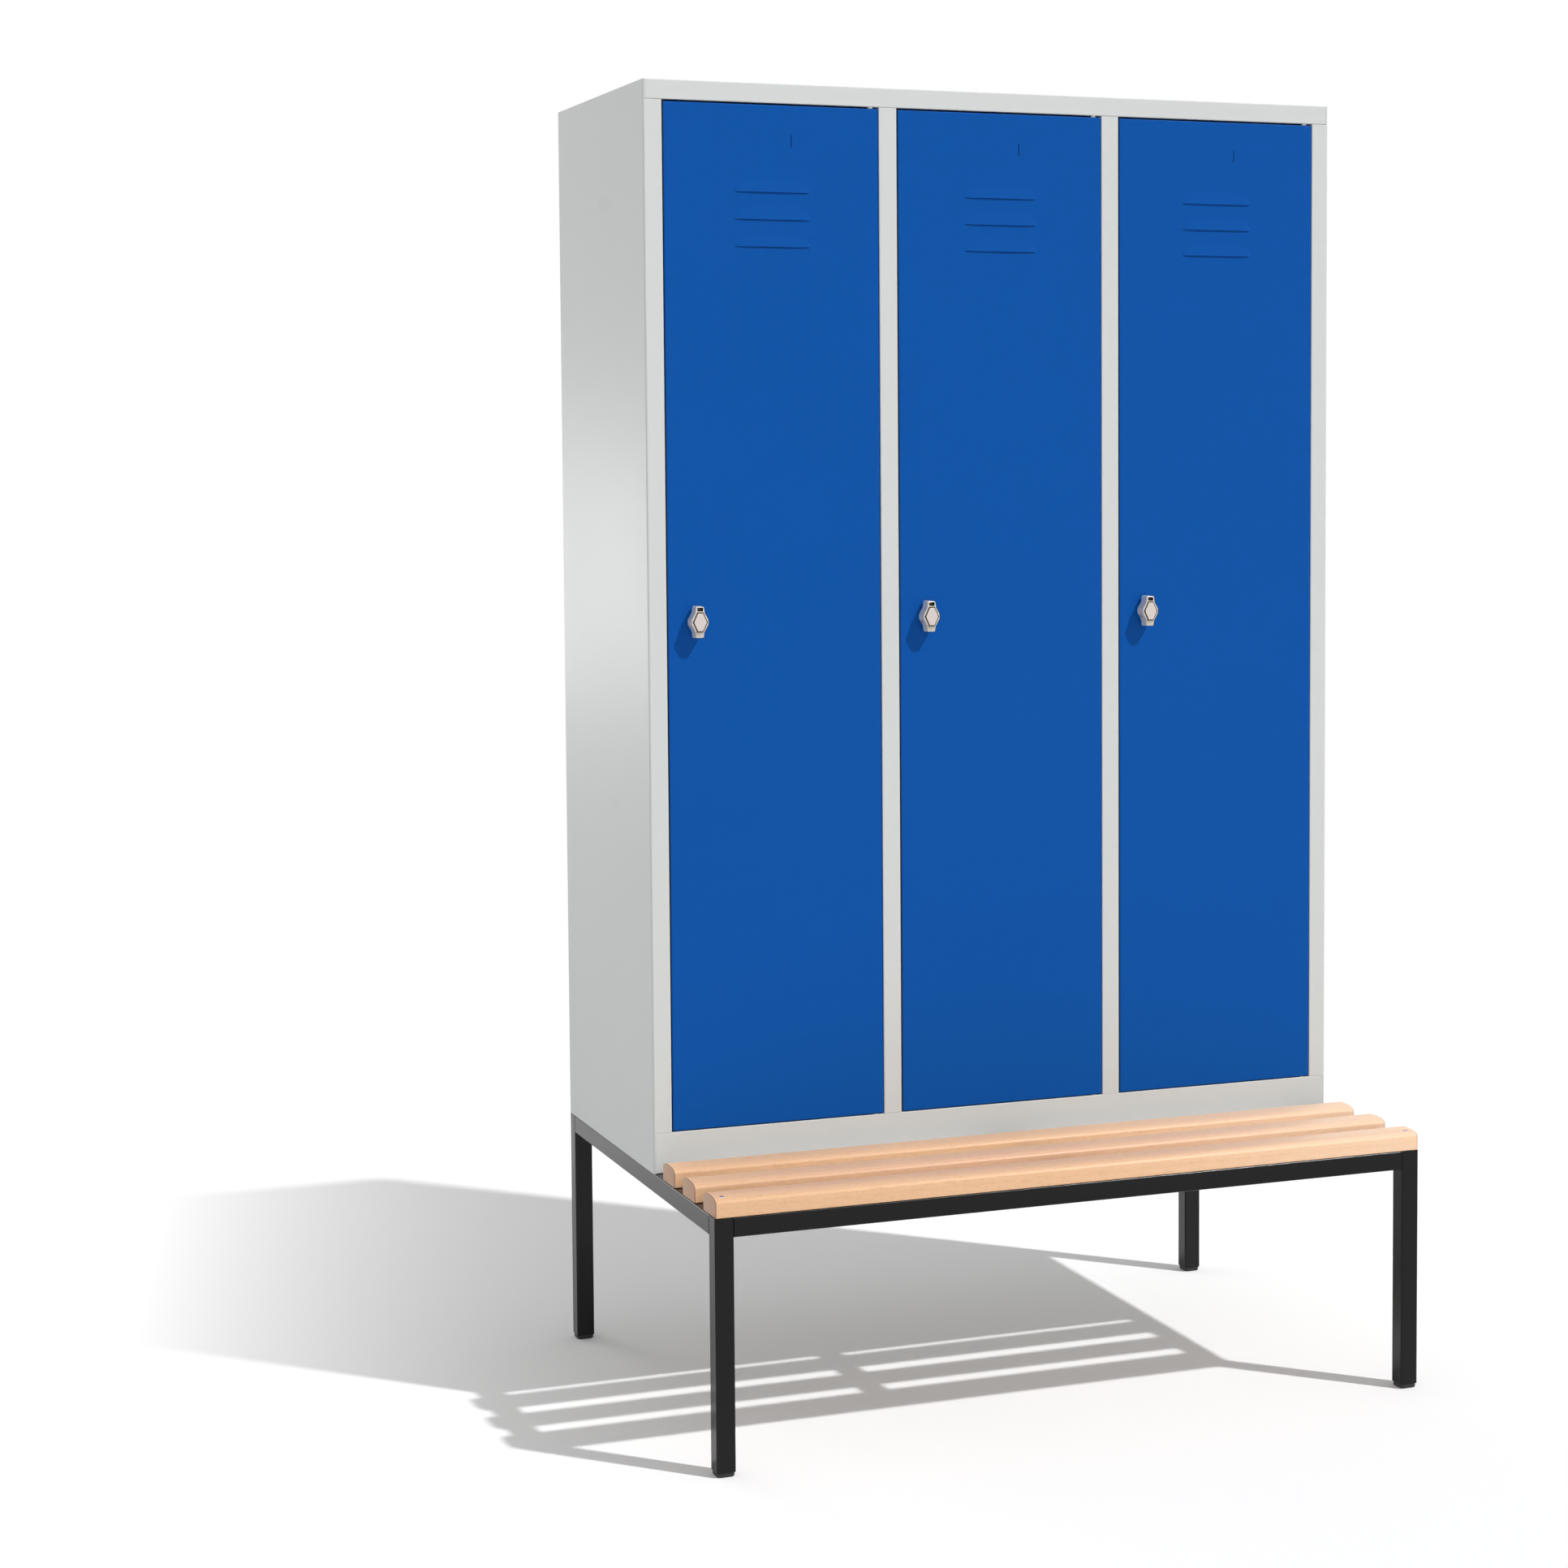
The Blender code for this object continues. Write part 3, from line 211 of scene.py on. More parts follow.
class FinishColours(bpy.types.PropertyGroup):
    """Paints, wood and metals."""
    body: colour((0.655, 0.675, 0.665), "Powder coat of the cabinet")
    doors: colour((0.0040, 0.087, 0.378), "Powder coat of the doors")
    tubes: colour((0.0045, 0.0045, 0.0048), "Powder coat of the frame")
    beech: colour((0.870, 0.535, 0.305), "Lacquered slats")
    # Painted highlight: a lighter, pinker colour that the slats are blended towards at their right
    # ends, where the light falls
    beech_pale: colour((0.930, 0.630, 0.425), "Paler wood towards the slats' right ends")
    beech_rosy: colour((0.84, 0.50, 0.36), "Redder boards in the slats")
    beech_dark: colour((0.610, 0.335, 0.170), "Late wood and flecks in the slats")
    beech_end: colour((0.550, 0.345, 0.255), "Sawn ends of the slats")
    beech_rim: colour((0.330, 0.170, 0.095), "Edges round the slats' ends")
    nickel: colour((0.860, 0.815, 0.715), "Plating of the turn bolts")
    nickel_face: colour((0.790, 0.710, 0.660), "Blasted faces of the turn bolts")
    # Tarnish plus painted shade: the colour of the turn bolts' darkened groove, pocket and step
    tarnish: colour((0.085, 0.066, 0.044), "Grooves and pockets of the turn bolts")
    zinc: colour((0.610, 0.625, 0.640), "Plating of rods, pins and screws")
    zinc_straw: colour((0.66, 0.63, 0.56), "Yellower clouds in that plating")
    plastic: colour((0.016, 0.016, 0.016), "Moulded foot caps")
    rubber: colour((0.060, 0.060, 0.060), "Buffers behind the doors")


class StudioSettings(bpy.types.PropertyGroup):
    """Camera, lamps and floor."""
    lens: number(70.88, "Focal length in millimetres")
    shift_x: number(-0.0798, "Lens shift across the picture")
    shift_y: number(-0.08, "Lens shift up the picture")
    place: vector((-1.957, -4.688, 1.510), "Where the camera stands",
                  subtype="TRANSLATION", unit="LENGTH")
    turn: vector((radians(86.26), radians(0.295), radians(-21.37)), "How the camera is turned",
                 subtype="EULER", unit="ROTATION")
    key_way: vector((0.60, -0.62, 1.0), "Way from the object to the main lamp")
    key_strength: number(2.45, "Main lamp's strength")
    key_spread: number(radians(1.6), "Angle that the main lamp fills", subtype="ANGLE")
    rim_place: vector((-1.55, 2.30, 1.25), "Where the soft lamp at the left back stands",
                      subtype="TRANSLATION", unit="LENGTH")
    rim_power: number(7.0, "Watts of the soft lamp")
    rim_width: length(0.9, "Width of the soft lamp")
    rim_height: length(0.6, "Height of the soft lamp")
    fill: number(0.46, "Light from all round")
    room: number(0.75, "Brightness of the room in front in reflections")
    floor_white: number(0.93, "Share of light that the floor shows the camera")
    floor_glow: number(0.055, "Light that the floor adds for the camera")
    fade_way: vector((-0.98, 0.19), "Way in which the shade fades out")
    fade_start: length(0.50, "Distance that way at which the shade starts to fade")
    fade_end: length(1.40, "Distance that way at which the shade has faded out")
    fade_far: length(1.9, "Distance from the middle at which all shade starts to fade")
    fade_power: number(2.2, "How late the fade sets in")


SETTINGS = {
    "locker_sheets": SheetSizes,
    "locker_doors": DoorSizes,
    "locker_bolts": BoltSizes,
    "locker_bench": BenchSizes,
    "locker_colours": FinishColours,
    "locker_studio": StudioSettings,
}


# Outlines

def rounded(corners, steps=8, closed=True):
    """Path through (x, y, radius) corners. Each corner with a radius becomes an arc that touches
    both of its sides: the arc's centre lies on the bisector, radius / sin(half the angle) from the
    corner, and its points turn evenly about that centre from one side's touching point to the
    other's."""
    corners = np.asarray(corners, float)
    points = corners[:, :2]
    before = np.roll(points, 1, axis=0) - points
    after = np.roll(points, -1, axis=0) - points
    before /= np.maximum(np.linalg.norm(before, axis=1), 1e-12)[:, None]
    after /= np.maximum(np.linalg.norm(after, axis=1), 1e-12)[:, None]
    path = []
    for index, radius in enumerate(corners[:, 2]):
        at_end = not closed and index in (0, len(corners) - 1)
        if radius == 0 or at_end:
            path.append(points[index][None])
            continue
        half = np.arccos(np.clip(before[index] @ after[index], -1, 1)) / 2
        bisector = before[index] + after[index]
        centre = points[index] + bisector / np.linalg.norm(bisector) * radius / np.sin(half)
        first = points[index] + before[index] * radius / np.tan(half) - centre
        last = points[index] + after[index] * radius / np.tan(half) - centre
        start = np.arctan2(first[1], first[0])
        sweep = (np.arctan2(last[1], last[0]) - start + pi) % (2 * pi) - pi
        angles = start + sweep * np.linspace(0, 1, steps + 1)
        path.append(centre + radius * np.stack([np.cos(angles), np.sin(angles)], axis=1))
    return np.concatenate(path)


def offset(path, distance, closed=False):
    """Path moved to its left by a distance: each point goes along the mean of its two sides'
    normals, lengthened by 1 / cos(half the turn) so that the sides stay that far apart."""
    path = np.asarray(path, float)
    step = np.roll(path, -1, axis=0) - path
    if not closed:
        step[-1] = step[-2]
    step /= np.linalg.norm(step, axis=1)[:, None]
    normal = np.stack([-step[:, 1], step[:, 0]], axis=1)
    previous = np.roll(normal, 1, axis=0)
    if not closed:
        previous[0] = normal[0]
    mean = normal + previous
    mean /= np.linalg.norm(mean, axis=1)[:, None]
    stretch = 1 / np.maximum(np.sum(mean * normal, axis=1), 0.3)
    return path + mean * (distance * stretch)[:, None]


def sheet_outline(corners, thickness, steps=8):
    """Closed section of a folded sheet: the outer path, and back along it, offset to its left."""
    outer = rounded(corners, steps, closed=False)
    return np.concatenate([outer, offset(outer, thickness)[::-1]])


def quarter_round(steps):
    """How far a unit quarter circle is from its two sides, (1 - sin, 1 - cos) at even angles."""
    angle = np.linspace(0, pi / 2, steps)
    return np.column_stack([1 - np.sin(angle), 1 - np.cos(angle)])


def rectangle(width, height, radius, steps=8):
    """Closed outline of a rectangle round the origin whose corners are arcs of a radius."""
    x, y = width / 2, height / 2
    return rounded([(-x, -y, radius), (x, -y, radius), (x, y, radius), (-x, y, radius)], steps)


def seen_by_angle(outline, angles):
    """Radius of a star-shaped closed outline at each angle about the origin: the outline is cut
    into short steps of equal length, and their radii are read off at the angles."""
    closed = np.concatenate([outline, outline[:1]])
    run = np.concatenate([[0], np.cumsum(np.linalg.norm(np.diff(closed, axis=0), axis=1))])
    along = np.linspace(0, run[-1], 6000, endpoint=False)
    x, y = np.interp(along, run, closed[:, 0]), np.interp(along, run, closed[:, 1])
    return np.interp(angles, np.arctan2(y, x), np.hypot(x, y), period=2 * pi)


# Surfaces

def cleaned(mesh):
    """The mesh with points that meet merged, slivers taken out and its faces pointing out."""
    bm = bmesh.new()
    bm.from_mesh(mesh)
    bmesh.ops.remove_doubles(bm, verts=bm.verts, dist=MERGE)
    bmesh.ops.dissolve_degenerate(bm, edges=bm.edges, dist=MERGE / 5)
    bmesh.ops.recalc_face_normals(bm, faces=bm.faces)
    bm.to_mesh(mesh)
    bm.free()
    return mesh


def grid_mesh(points, wrap_rows=False, caps=True):
    """Closed mesh on a grid of points: rows run along the piece and columns round it. Each quad
    joins (i, j), (i, j + 1), (i + 1, j + 1) and (i + 1, j). The end rows get a face each, unless
    the rows wrap round too. Points that meet are merged, and the faces are turned to point out."""
    rows, columns = points.shape[:2]
    row = np.arange(rows if wrap_rows else rows - 1)[:, None]
    column = np.arange(columns)[None, :]
    following_row = (row + 1) % rows
    following_column = (column + 1) % columns
    quads = np.stack([
        row * columns + column,
        row * columns + following_column,
        following_row * columns + following_column,
        following_row * columns + column,
    ], axis=-1).reshape(-1, 4)
    faces = quads.tolist()
    if caps and not wrap_rows:
        faces.append(list(range(columns)))
        faces.append(list(range((rows - 1) * columns, rows * columns)))
    mesh = bpy.data.meshes.new("surface")
    mesh.from_pydata(points.reshape(-1, 3), [], faces)
    return cleaned(mesh)


AXES = {"X": (2, 0, 1), "Y": (0, 2, 1), "Z": (0, 1, 2)}


def along_axis(outlines, stations, axis):
    """Grid of an outline carried along X, Y or Z: row k holds outline k at station k. For X the
    outline's (u, v) lies along Y and Z, for Y along X and Z, and for Z along X and Y."""
    outlines = np.asarray(outlines, float)
    depth = np.broadcast_to(np.asarray(stations, float)[:, None, None], outlines.shape[:2] + (1,))
    return np.concatenate([outlines, depth], axis=2)[:, :, AXES[axis]]


def bar(outline, start, end, axis):
    """Solid bar of one outline from a start to an end along an axis."""
    return grid_mesh(along_axis([outline, outline], [start, end], axis))


def box_mesh(low, high):
    """Block between two corners."""
    x0, y0, z0 = low
    x1, y1, z1 = high
    return bar(np.array([(x0, y0), (x1, y0), (x1, y1), (x0, y1)]), z0, z1, "Z")


def turned(profile, sides=48, ring=False):
    """Surface of revolution: a profile of (radius, height) points, turned about Z. A point at angle
    a lies at (radius cos a, radius sin a, height)."""
    profile = np.asarray(profile, float)
    angles = np.linspace(0, 2 * pi, sides, endpoint=False)
    radius, height = profile[:, :1], profile[:, 1:]
    across = np.stack([radius * np.cos(angles), radius * np.sin(angles)], axis=-1)
    depth = np.broadcast_to(height[:, :, None], across.shape[:2] + (1,))
    return grid_mesh(np.concatenate([across, depth], axis=2), wrap_rows=ring, caps=False)


def round_bar(radius, low, high):
    """Cylinder about Z from a low to a high level."""
    return turned([(0, high), (radius, high), (radius, low), (0, low)])


def softened(profile, radius, steps=4):
    """Profile with the corners between its ends rounded by a radius."""
    profile = np.asarray(profile, float)
    radii = np.full(len(profile), radius)
    return rounded(np.column_stack([profile, radii]), steps, closed=False)


def placed(mesh, place=(0, 0, 0), facing="Z"):
    """A copy of the mesh whose Z axis faces Z, -Z, -Y or X, moved to a place."""
    turns = {"Z": (0, 0, 0), "-Z": (pi, 0, 0), "-Y": (pi / 2, 0, 0), "X": (pi / 2, 0, pi / 2)}
    copy = mesh.copy()
    copy.transform(Matrix.Translation(Vector(place)) @ Euler(turns[facing]).to_matrix().to_4x4())
    return copy


def merged(meshes):
    """One mesh that holds several solids."""
    bm = bmesh.new()
    for mesh in meshes:
        bm.from_mesh(mesh)
    result = bpy.data.meshes.new("surfaces")
    bm.to_mesh(result)
    bm.free()
    return result


def worked(mesh, *steps):
    """The mesh after (operation, mesh) steps that join solids to it or cut them out of it."""
    objects = [bpy.data.objects.new("work", part) for part in (mesh, *[part for _, part in steps])]
    for item in objects:
        bpy.context.scene.collection.objects.link(item)
    for (operation, _), other in zip(steps, objects[1:]):
        modifier = objects[0].modifiers.new(operation.lower(), "BOOLEAN")
        modifier.operation = operation
        modifier.object = other
    bpy.context.view_layer.update()
    evaluated = objects[0].evaluated_get(bpy.context.evaluated_depsgraph_get())
    result = bpy.data.meshes.new_from_object(evaluated)
    for item in objects:
        bpy.data.objects.remove(item)
    return cleaned(result)


def shaded(mesh, angle=35, flat_ratio=None):
    """Smooth shading with sharp edges above an angle. With flat_ratio, an edge also stays sharp
    where one of its faces has that many times the other's area, so that wide flats keep an even
    shade."""
    mesh.shade_smooth()
    mesh.set_sharp_from_angle(angle=radians(angle))
    if flat_ratio is None:
        return mesh
    bm = bmesh.new()
    bm.from_mesh(mesh)
    for edge in bm.edges:
        if len(edge.link_faces) != 2 or not edge.smooth:
            continue
        one, other = edge.link_faces
        small, large = sorted((one.calc_area(), other.calc_area()))
        if large > flat_ratio * small and one.normal.angle(other.normal, 0) > radians(0.5):
            edge.smooth = False
    bm.to_mesh(mesh)
    bm.free()
    return mesh


def is_closed(mesh):
    """Whether each edge of the mesh joins two faces."""
    bm = bmesh.new()
    bm.from_mesh(mesh)
    closed = all(edge.is_manifold for edge in bm.edges)
    bm.free()
    return closed


def dress(name, mesh, finish, body, nodes):
    """Put a finished surface in the scene: it rides on a body and stands for CAD nodes."""
    item = bpy.data.objects.new(name, mesh)
    bpy.context.scene.collection.objects.link(item)
    mesh.materials.clear()
    mesh.materials.append(finish)
    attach(item, body)
    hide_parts(*nodes)
    return item


# Finishes

class Field:
    """A value or colour in a material. Sums of fields and numbers add Math nodes."""

    def __init__(self, finish, socket):
        self.finish = finish
        self.socket = socket

    def math(self, operation, *values, clamp=False):
        """Result of a Math node."""
        sockets = dict(enumerate(values))
        settings = {"operation": operation, "use_clamp": clamp}
        return self.finish.add("ShaderNodeMath", settings, sockets)

    def __add__(self, other):
        return self.math("ADD", self, other)

    def __radd__(self, other):
        return self.math("ADD", other, self)

    def __sub__(self, other):
        return self.math("SUBTRACT", self, other)

    def __rsub__(self, other):
        return self.math("SUBTRACT", other, self)

    def __mul__(self, other):
        return self.math("MULTIPLY", self, other)

    def __rmul__(self, other):
        return self.math("MULTIPLY", other, self)

    def __pow__(self, other):
        return self.math("POWER", self, other)

    def __gt__(self, other):
        return self.math("GREATER_THAN", self, other)

    def __lt__(self, other):
        return self.math("LESS_THAN", self, other)

    def size(self):
        """The value without its sign."""
        return self.math("ABSOLUTE", self)

    def squared(self):
        """The value times itself."""
        return self.math("MULTIPLY", self, self)

    def most(self, other):
        """The larger of two values."""
        return self.math("MAXIMUM", self, other)

    def part(self):
        """What is left of the value after its whole number."""
        return self.math("FRACT", self)

    def held(self):
        """The value kept between 0 and 1."""
        return self.math("ADD", self, 0.0, clamp=True)

    def ramp(self, low, high):
        """0 below low, 1 above high and a smooth step between them."""
        sockets = {"Value": self, "From Min": low, "From Max": high}
        return self.finish.add("ShaderNodeMapRange", {"interpolation_type": "SMOOTHSTEP"}, sockets)


class Finish:
    """A material that is written as expressions on fields."""

    def __init__(self, name, **sockets):
        self.material = bpy.data.materials.new(name)
        self.material.use_nodes = True
        self.tree = self.material.node_tree
        self.shader = self.tree.nodes["Principled BSDF"]
        self.set(**sockets)
        self.place = self.add("ShaderNodeTexCoord", output="Object")

    def add(self, kind, settings=None, sockets=None, output=0):
        """Add a node: its settings come first, then its sockets get values or links."""
        node = self.tree.nodes.new(kind)
        for key, value in (settings or {}).items():
            setattr(node, key, value)
        for key, value in (sockets or {}).items():
            self.feed(node.inputs[key], value)
        return Field(self, node.outputs[output])

    def feed(self, socket, value):
        """Link a field to a socket, or set the socket's own value."""
        if isinstance(value, Field):
            self.tree.links.new(value.socket, socket)
        elif hasattr(value, "__len__") and len(socket.default_value) == 4:
            socket.default_value = (*value, 1.0)[:4]
        else:
            socket.default_value = value

    def set(self, **sockets):
        """Set or link the shader's sockets, named in lower case with underscores for spaces."""
        named = {socket.name.lower().replace(" ", "_"): socket for socket in self.shader.inputs}
        for key, value in sockets.items():
            self.feed(named[key], value)

    def blend(self, first, second, factor, mode="MIX"):
        """Colour between two colours."""
        settings = {"data_type": "RGBA", "blend_type": mode}
        return self.add("ShaderNodeMix", settings, {0: factor, 6: first, 7: second}, output=2)

    def scaled(self, x, y, z, shift=(0, 0, 0)):
        """Object coordinates stretched along each axis and then shifted."""
        sockets = {"Vector": self.place, "Scale": (x, y, z), "Location": shift}
        return self.add("ShaderNodeMapping", None, sockets)

    def noise(self, place, scale=1.0, detail=2.0, roughness=0.5):
        """Cloudy value from 0 to 1."""
        sockets = {"Vector": place, "Scale": scale, "Detail": detail, "Roughness": roughness}
        return self.add("ShaderNodeTexNoise", None, sockets)

    def outputs(self, kind, sockets=None):
        """All the outputs of an added node, by name."""
        first = self.add(kind, None, sockets)
        return {output.name: Field(self, output) for output in first.socket.node.outputs}

    def axes(self):
        """The three coordinates as fields."""
        return list(self.outputs("ShaderNodeSeparateXYZ", {0: self.place}).values())

    def relief(self, height, depth, normal=None):
        """Bump the surface by a height field of 0 to 1 that is depth metres high."""
        sockets = {"Height": height, "Distance": depth, "Strength": 1.0}
        if normal is not None:
            sockets["Normal"] = normal
        return self.add("ShaderNodeBump", None, sockets)


class PowderCoat(Finish):
    """Baked powder paint: an even colour, a faint mottle, and the fine dimples of orange peel."""

    def __init__(self, name, tone, gloss, shine, peel=0.000012, mottle=0.03):
        super().__init__(name, specular_ior_level=shine)
        cloud = self.noise(self.place, scale=2.2, detail=3.0)
        grain = self.noise(self.place, scale=900.0, detail=1.0)
        dark = [value * (1 - mottle) for value in tone]
        light = [min(value * (1 + mottle), 1) for value in tone]
        self.painted = self.blend(dark, light, (cloud * 0.8 + grain * 0.2).held())
        self.skin = self.relief(self.noise(self.place, scale=420.0, roughness=0.4), peel)
        self.set(
            base_color=self.painted,
            roughness=gloss + (cloud - 0.5) * 0.10 + (grain - 0.5) * 0.06,
            normal=self.skin,
        )


def body_paint():
    """Light grey powder coat, with faint scuffs on the left wall and spot welds down the back."""
    tone = bpy.context.scene.locker_colours.body
    finish = PowderCoat("light_grey_powder_coat", tone, gloss=0.44, shine=0.35)
    painted = finish.painted
    x, y, z = finish.axes()
    scratches = finish.noise(finish.scaled(30.0, 90.0, 700.0)).ramp(0.50, 0.62)
    for across, up, width, height in SCUFFS:
        away = ((y - across) * (1 / width)).squared() + ((z - up) * (1 / height)).squared()
        mark = (1 - away.ramp(0.2, 1.0)) * scratches * (x < -SIDE + 0.001) * 0.35
        painted = finish.blend(painted, [value * 0.78 for value in tone], mark)
    middle = SIDE - bpy.context.scene.locker_sheets.back_flange / 2
    along = ((z * (1 / WELD_PITCH)).part() - 0.5) * WELD_PITCH
    away = ((x.size() - middle).squared() + along.squared()) ** 0.5
    weld = (1 - away.ramp(WELD_RADIUS * 0.5, WELD_RADIUS)) * (y > BACK - 0.0005)
    finish.set(base_color=painted, normal=finish.relief(1 - weld, 0.0003, finish.skin))
    return finish.material


def door_paint():
    """Gentian blue powder coat."""
    tone = bpy.context.scene.locker_colours.doors
    finish = PowderCoat("gentian_blue_powder_coat", tone, gloss=0.42, shine=0.06, mottle=0.04)
    return finish.material


def tube_paint():
    """Black powder coat of the frame, glossier than the others."""
    tone = bpy.context.scene.locker_colours.tubes
    finish = PowderCoat("black_powder_coat", tone, gloss=0.20, shine=0.29, peel=0.00001,
                        mottle=0.10)
    return finish.material


def beech_wood():
    """Lacquered beech: growth rings along each slat, fine streaks, short brown flecks, and sawn
    ends. The rings are cylinders about a line along X, which lies behind and above the seat."""
    colours = bpy.context.scene.locker_colours
    bench = bpy.context.scene.locker_bench
    finish = Finish("lacquered_beech", coat_weight=0.55, coat_roughness=0.48,
                    specular_ior_level=0.3)
    x, y, z = finish.axes()
    drift = finish.noise(finish.scaled(1.3, 9.0, 9.0))
    across = ((y + 0.31).squared() + (z * 1.4 - 0.52).squared()) ** 0.5
    rings = ((across + drift * 0.012) * 150.0).part()
    late_wood = rings.ramp(0.25, 0.95) * (1 - rings.ramp(0.95, 1.0))
    streaks = finish.noise(finish.scaled(3.0, 330.0, 330.0), detail=3.0, roughness=0.6)
    flecks = finish.noise(finish.scaled(110.0, 800.0, 800.0), detail=1.0).ramp(0.56, 0.68)
    figure = finish.noise(finish.scaled(55.0, 260.0, 260.0), roughness=0.6)
    board = finish.noise(finish.scaled(0.9, 14.0, 3.0, shift=(3.1, 0.0, 0.0)), detail=1.0)
    lines = late_wood * 0.16 + (streaks - 0.5) * 0.45 + flecks * 0.34
    depth = (lines + (figure - 0.5) * 0.75 + (board - 0.5) * 0.5) * bench.grain
    wood = finish.blend(colours.beech, colours.beech_dark, depth.held())
    wood = finish.blend(wood, colours.beech_rosy, board.ramp(0.40, 0.70) * 0.40)
    # Painted highlight: each slat grows lighter and pinker towards its right end, less where the
    # grain is dark
    wood = finish.blend(wood, colours.beech_pale, x.ramp(-0.05, 0.65) * (0.90 - depth * 0.8).held())
    pores = finish.noise(finish.scaled(300.0, 900.0, 900.0))
    sawn = finish.blend(colours.beech_end, colours.beech_dark, (rings * 0.35 + pores * 0.35).held())
    half = -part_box("seat_slat_1")[0].x
    at_end = x.size() > half - bench.slat_end * 0.1
    edged = finish.blend(wood, colours.beech_rim, x.size() > half - bench.slat_end * 1.5)
    finish.set(
        base_color=finish.blend(edged, sawn, at_end),
        roughness=(0.46 + streaks * 0.10 + at_end * 0.2).held(),
        normal=finish.relief((streaks * 0.6 + flecks * 0.4).held(), 0.00004),
    )
    return finish.material


def nickel_plate():
    """Satin nickel: a polished casting whose raised face is blasted matt. Its groove, pocket and
    lower step are darkened with tarnish and with painted shade that stands in for the shade in
    these hollows. The three turn bolts are equally far apart, so X is read from each one's middle:
    u = pitch (frac((x - x1) / pitch + 1/2) - 1/2)."""
    size = bpy.context.scene.locker_bolts
    colours = bpy.context.scene.locker_colours
    finish = Finish("satin_nickel", metallic=0.35)
    first, second = (middle_of("knob_" + side) for side in COMPARTMENTS[:2])
    pitch = second[0] - first[0]
    x, y, z = finish.axes()
    across = ((((x - first[0]) * (1 / pitch) + 0.5).part() - 0.5) * pitch).size()
    up = z - first[2]
    gap = bpy.context.scene.locker_sheets.clearance
    front = FRONT - size.rosette_thickness - 2 * gap - size.depth
    (tip, high, _), (wide, _, _) = face_corners(size.groove + 0.0010)[::5]
    slope = (across + up.size() * ((wide - tip) / high)) * (1 / wide)
    in_face = (up.size() * (1 / high)).most(slope) < 1.0
    above, below = 0.0140, size.half_height - 0.0015
    in_arm = (across < POCKET_WIDTH / 2 + 0.00025) * (up > above) * (up < below)
    at_groove = in_face * (y > front - 0.0002)
    in_pocket = in_arm * (y > front + 0.0003)
    # Tarnish and painted shade: the groove round the face and the pocket are darkened for the shade
    # that falls in them
    dark = at_groove.most(in_pocket) * (y < FRONT - 0.004)
    at_step = (y > front + STEP_DEPTH - 0.001) * (y < front + STEP_DEPTH + 0.001)
    # Painted shade with tarnish: the floor of the lower step gets a quarter of that darkening
    lower = (up < STEP_UP - 0.0002) * at_step * 0.25
    brushed = finish.noise(finish.scaled(900.0, 900.0, 2600.0), roughness=0.6)
    cloud = finish.noise(finish.place, scale=900.0, detail=3.0, roughness=0.7)
    face = finish.blend(colours.nickel, colours.nickel_face, in_face * (y < front - 0.0005))
    blasted = 0.25 + in_face * 0.75
    pits = (cloud * 0.30 + brushed * 0.15) * blasted
    mottled = finish.blend(face, [value * 0.72 for value in colours.nickel_face], pits)
    finish.set(
        base_color=finish.blend(mottled, colours.tarnish, (dark + lower).held()),
        roughness=(0.20 + in_face * 0.18 + brushed * 0.08 + cloud * 0.08).held(),
        normal=finish.relief((brushed * 0.5 + cloud * 0.5) * blasted, 0.000025),
    )
    return finish.material


def zinc_plate():
    """Bright zinc plate with its faint crystals and a touch of straw and blue."""
    finish = Finish("bright_zinc_plate", metallic=1.0, roughness=0.32)
    colours = bpy.context.scene.locker_colours
    sockets = {"Vector": finish.place, "Scale": 260.0}
    crystals = finish.add("ShaderNodeTexVoronoi", None, sockets, "Color")
    tint = finish.noise(finish.place, scale=60.0)
    plate = finish.blend(colours.zinc, colours.zinc_straw, tint.ramp(0.45, 0.8))
    finish.set(
        base_color=finish.blend(plate, crystals, 0.05),
        roughness=0.26 + tint * 0.14,
        normal=finish.relief(tint, 0.00001),
    )
    return finish.material


def moulded(name, tone, gloss, grain_depth):
    """Moulded rubber or plastic with a fine matt grain."""
    finish = Finish(name, roughness=gloss)
    grain = finish.noise(finish.place, scale=1400.0, detail=3.0, roughness=0.6)
    cloud = finish.noise(finish.place, scale=40.0)
    darker, lighter = ([value * share for value in tone] for share in (0.8, 1.2))
    finish.set(
        base_color=finish.blend(darker, lighter, cloud),
        roughness=gloss + (grain - 0.5) * 0.2,
        normal=finish.relief(grain, grain_depth),
    )
    return finish.material


def foot_plastic():
    """Black moulded plastic of the foot caps."""
    return moulded("black_moulded_plastic", bpy.context.scene.locker_colours.plastic, 0.50, 0.00003)


def buffer_rubber():
    """Dark grey rubber of the door buffers."""
    return moulded("grey_rubber", bpy.context.scene.locker_colours.rubber, 0.75, 0.00004)


FINISHES = {
    "body_paint": body_paint,
    "door_paint": door_paint,
    "frame_paint": tube_paint,
    "beech": beech_wood,
    "nickel": nickel_plate,
    "zinc_plate": zinc_plate,
    "rubber": buffer_rubber,
    "foot_plastic": foot_plastic,
}
made = {}


def finish_for(slot):
    """The finish of a material slot, made once."""
    if slot not in made:
        made[slot] = FINISHES[slot]()
    return made[slot]


def paint_nodes(slot, *nodes):
    """Give CAD nodes that stay in view the finish of a slot."""
    for name in nodes:
        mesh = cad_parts[name].data
        mesh.materials.clear()
        mesh.materials.append(finish_for(slot))


# Operators: one for each group of pieces

class PieceOperator(bpy.types.Operator):
    """Shared settings of the operators."""
    bl_options = {"REGISTER", "UNDO"}

    def put(self, node, mesh, slot, body=ROOT):
        """Dress a CAD node with a finished mesh, once it is sure to be a closed surface."""
        name = "fine_" + node
        if not mesh.polygons or not is_closed(mesh):
            raise RuntimeError(f"{name} isn't a closed surface")
        return dress(name, mesh, finish_for(slot), body, [node])


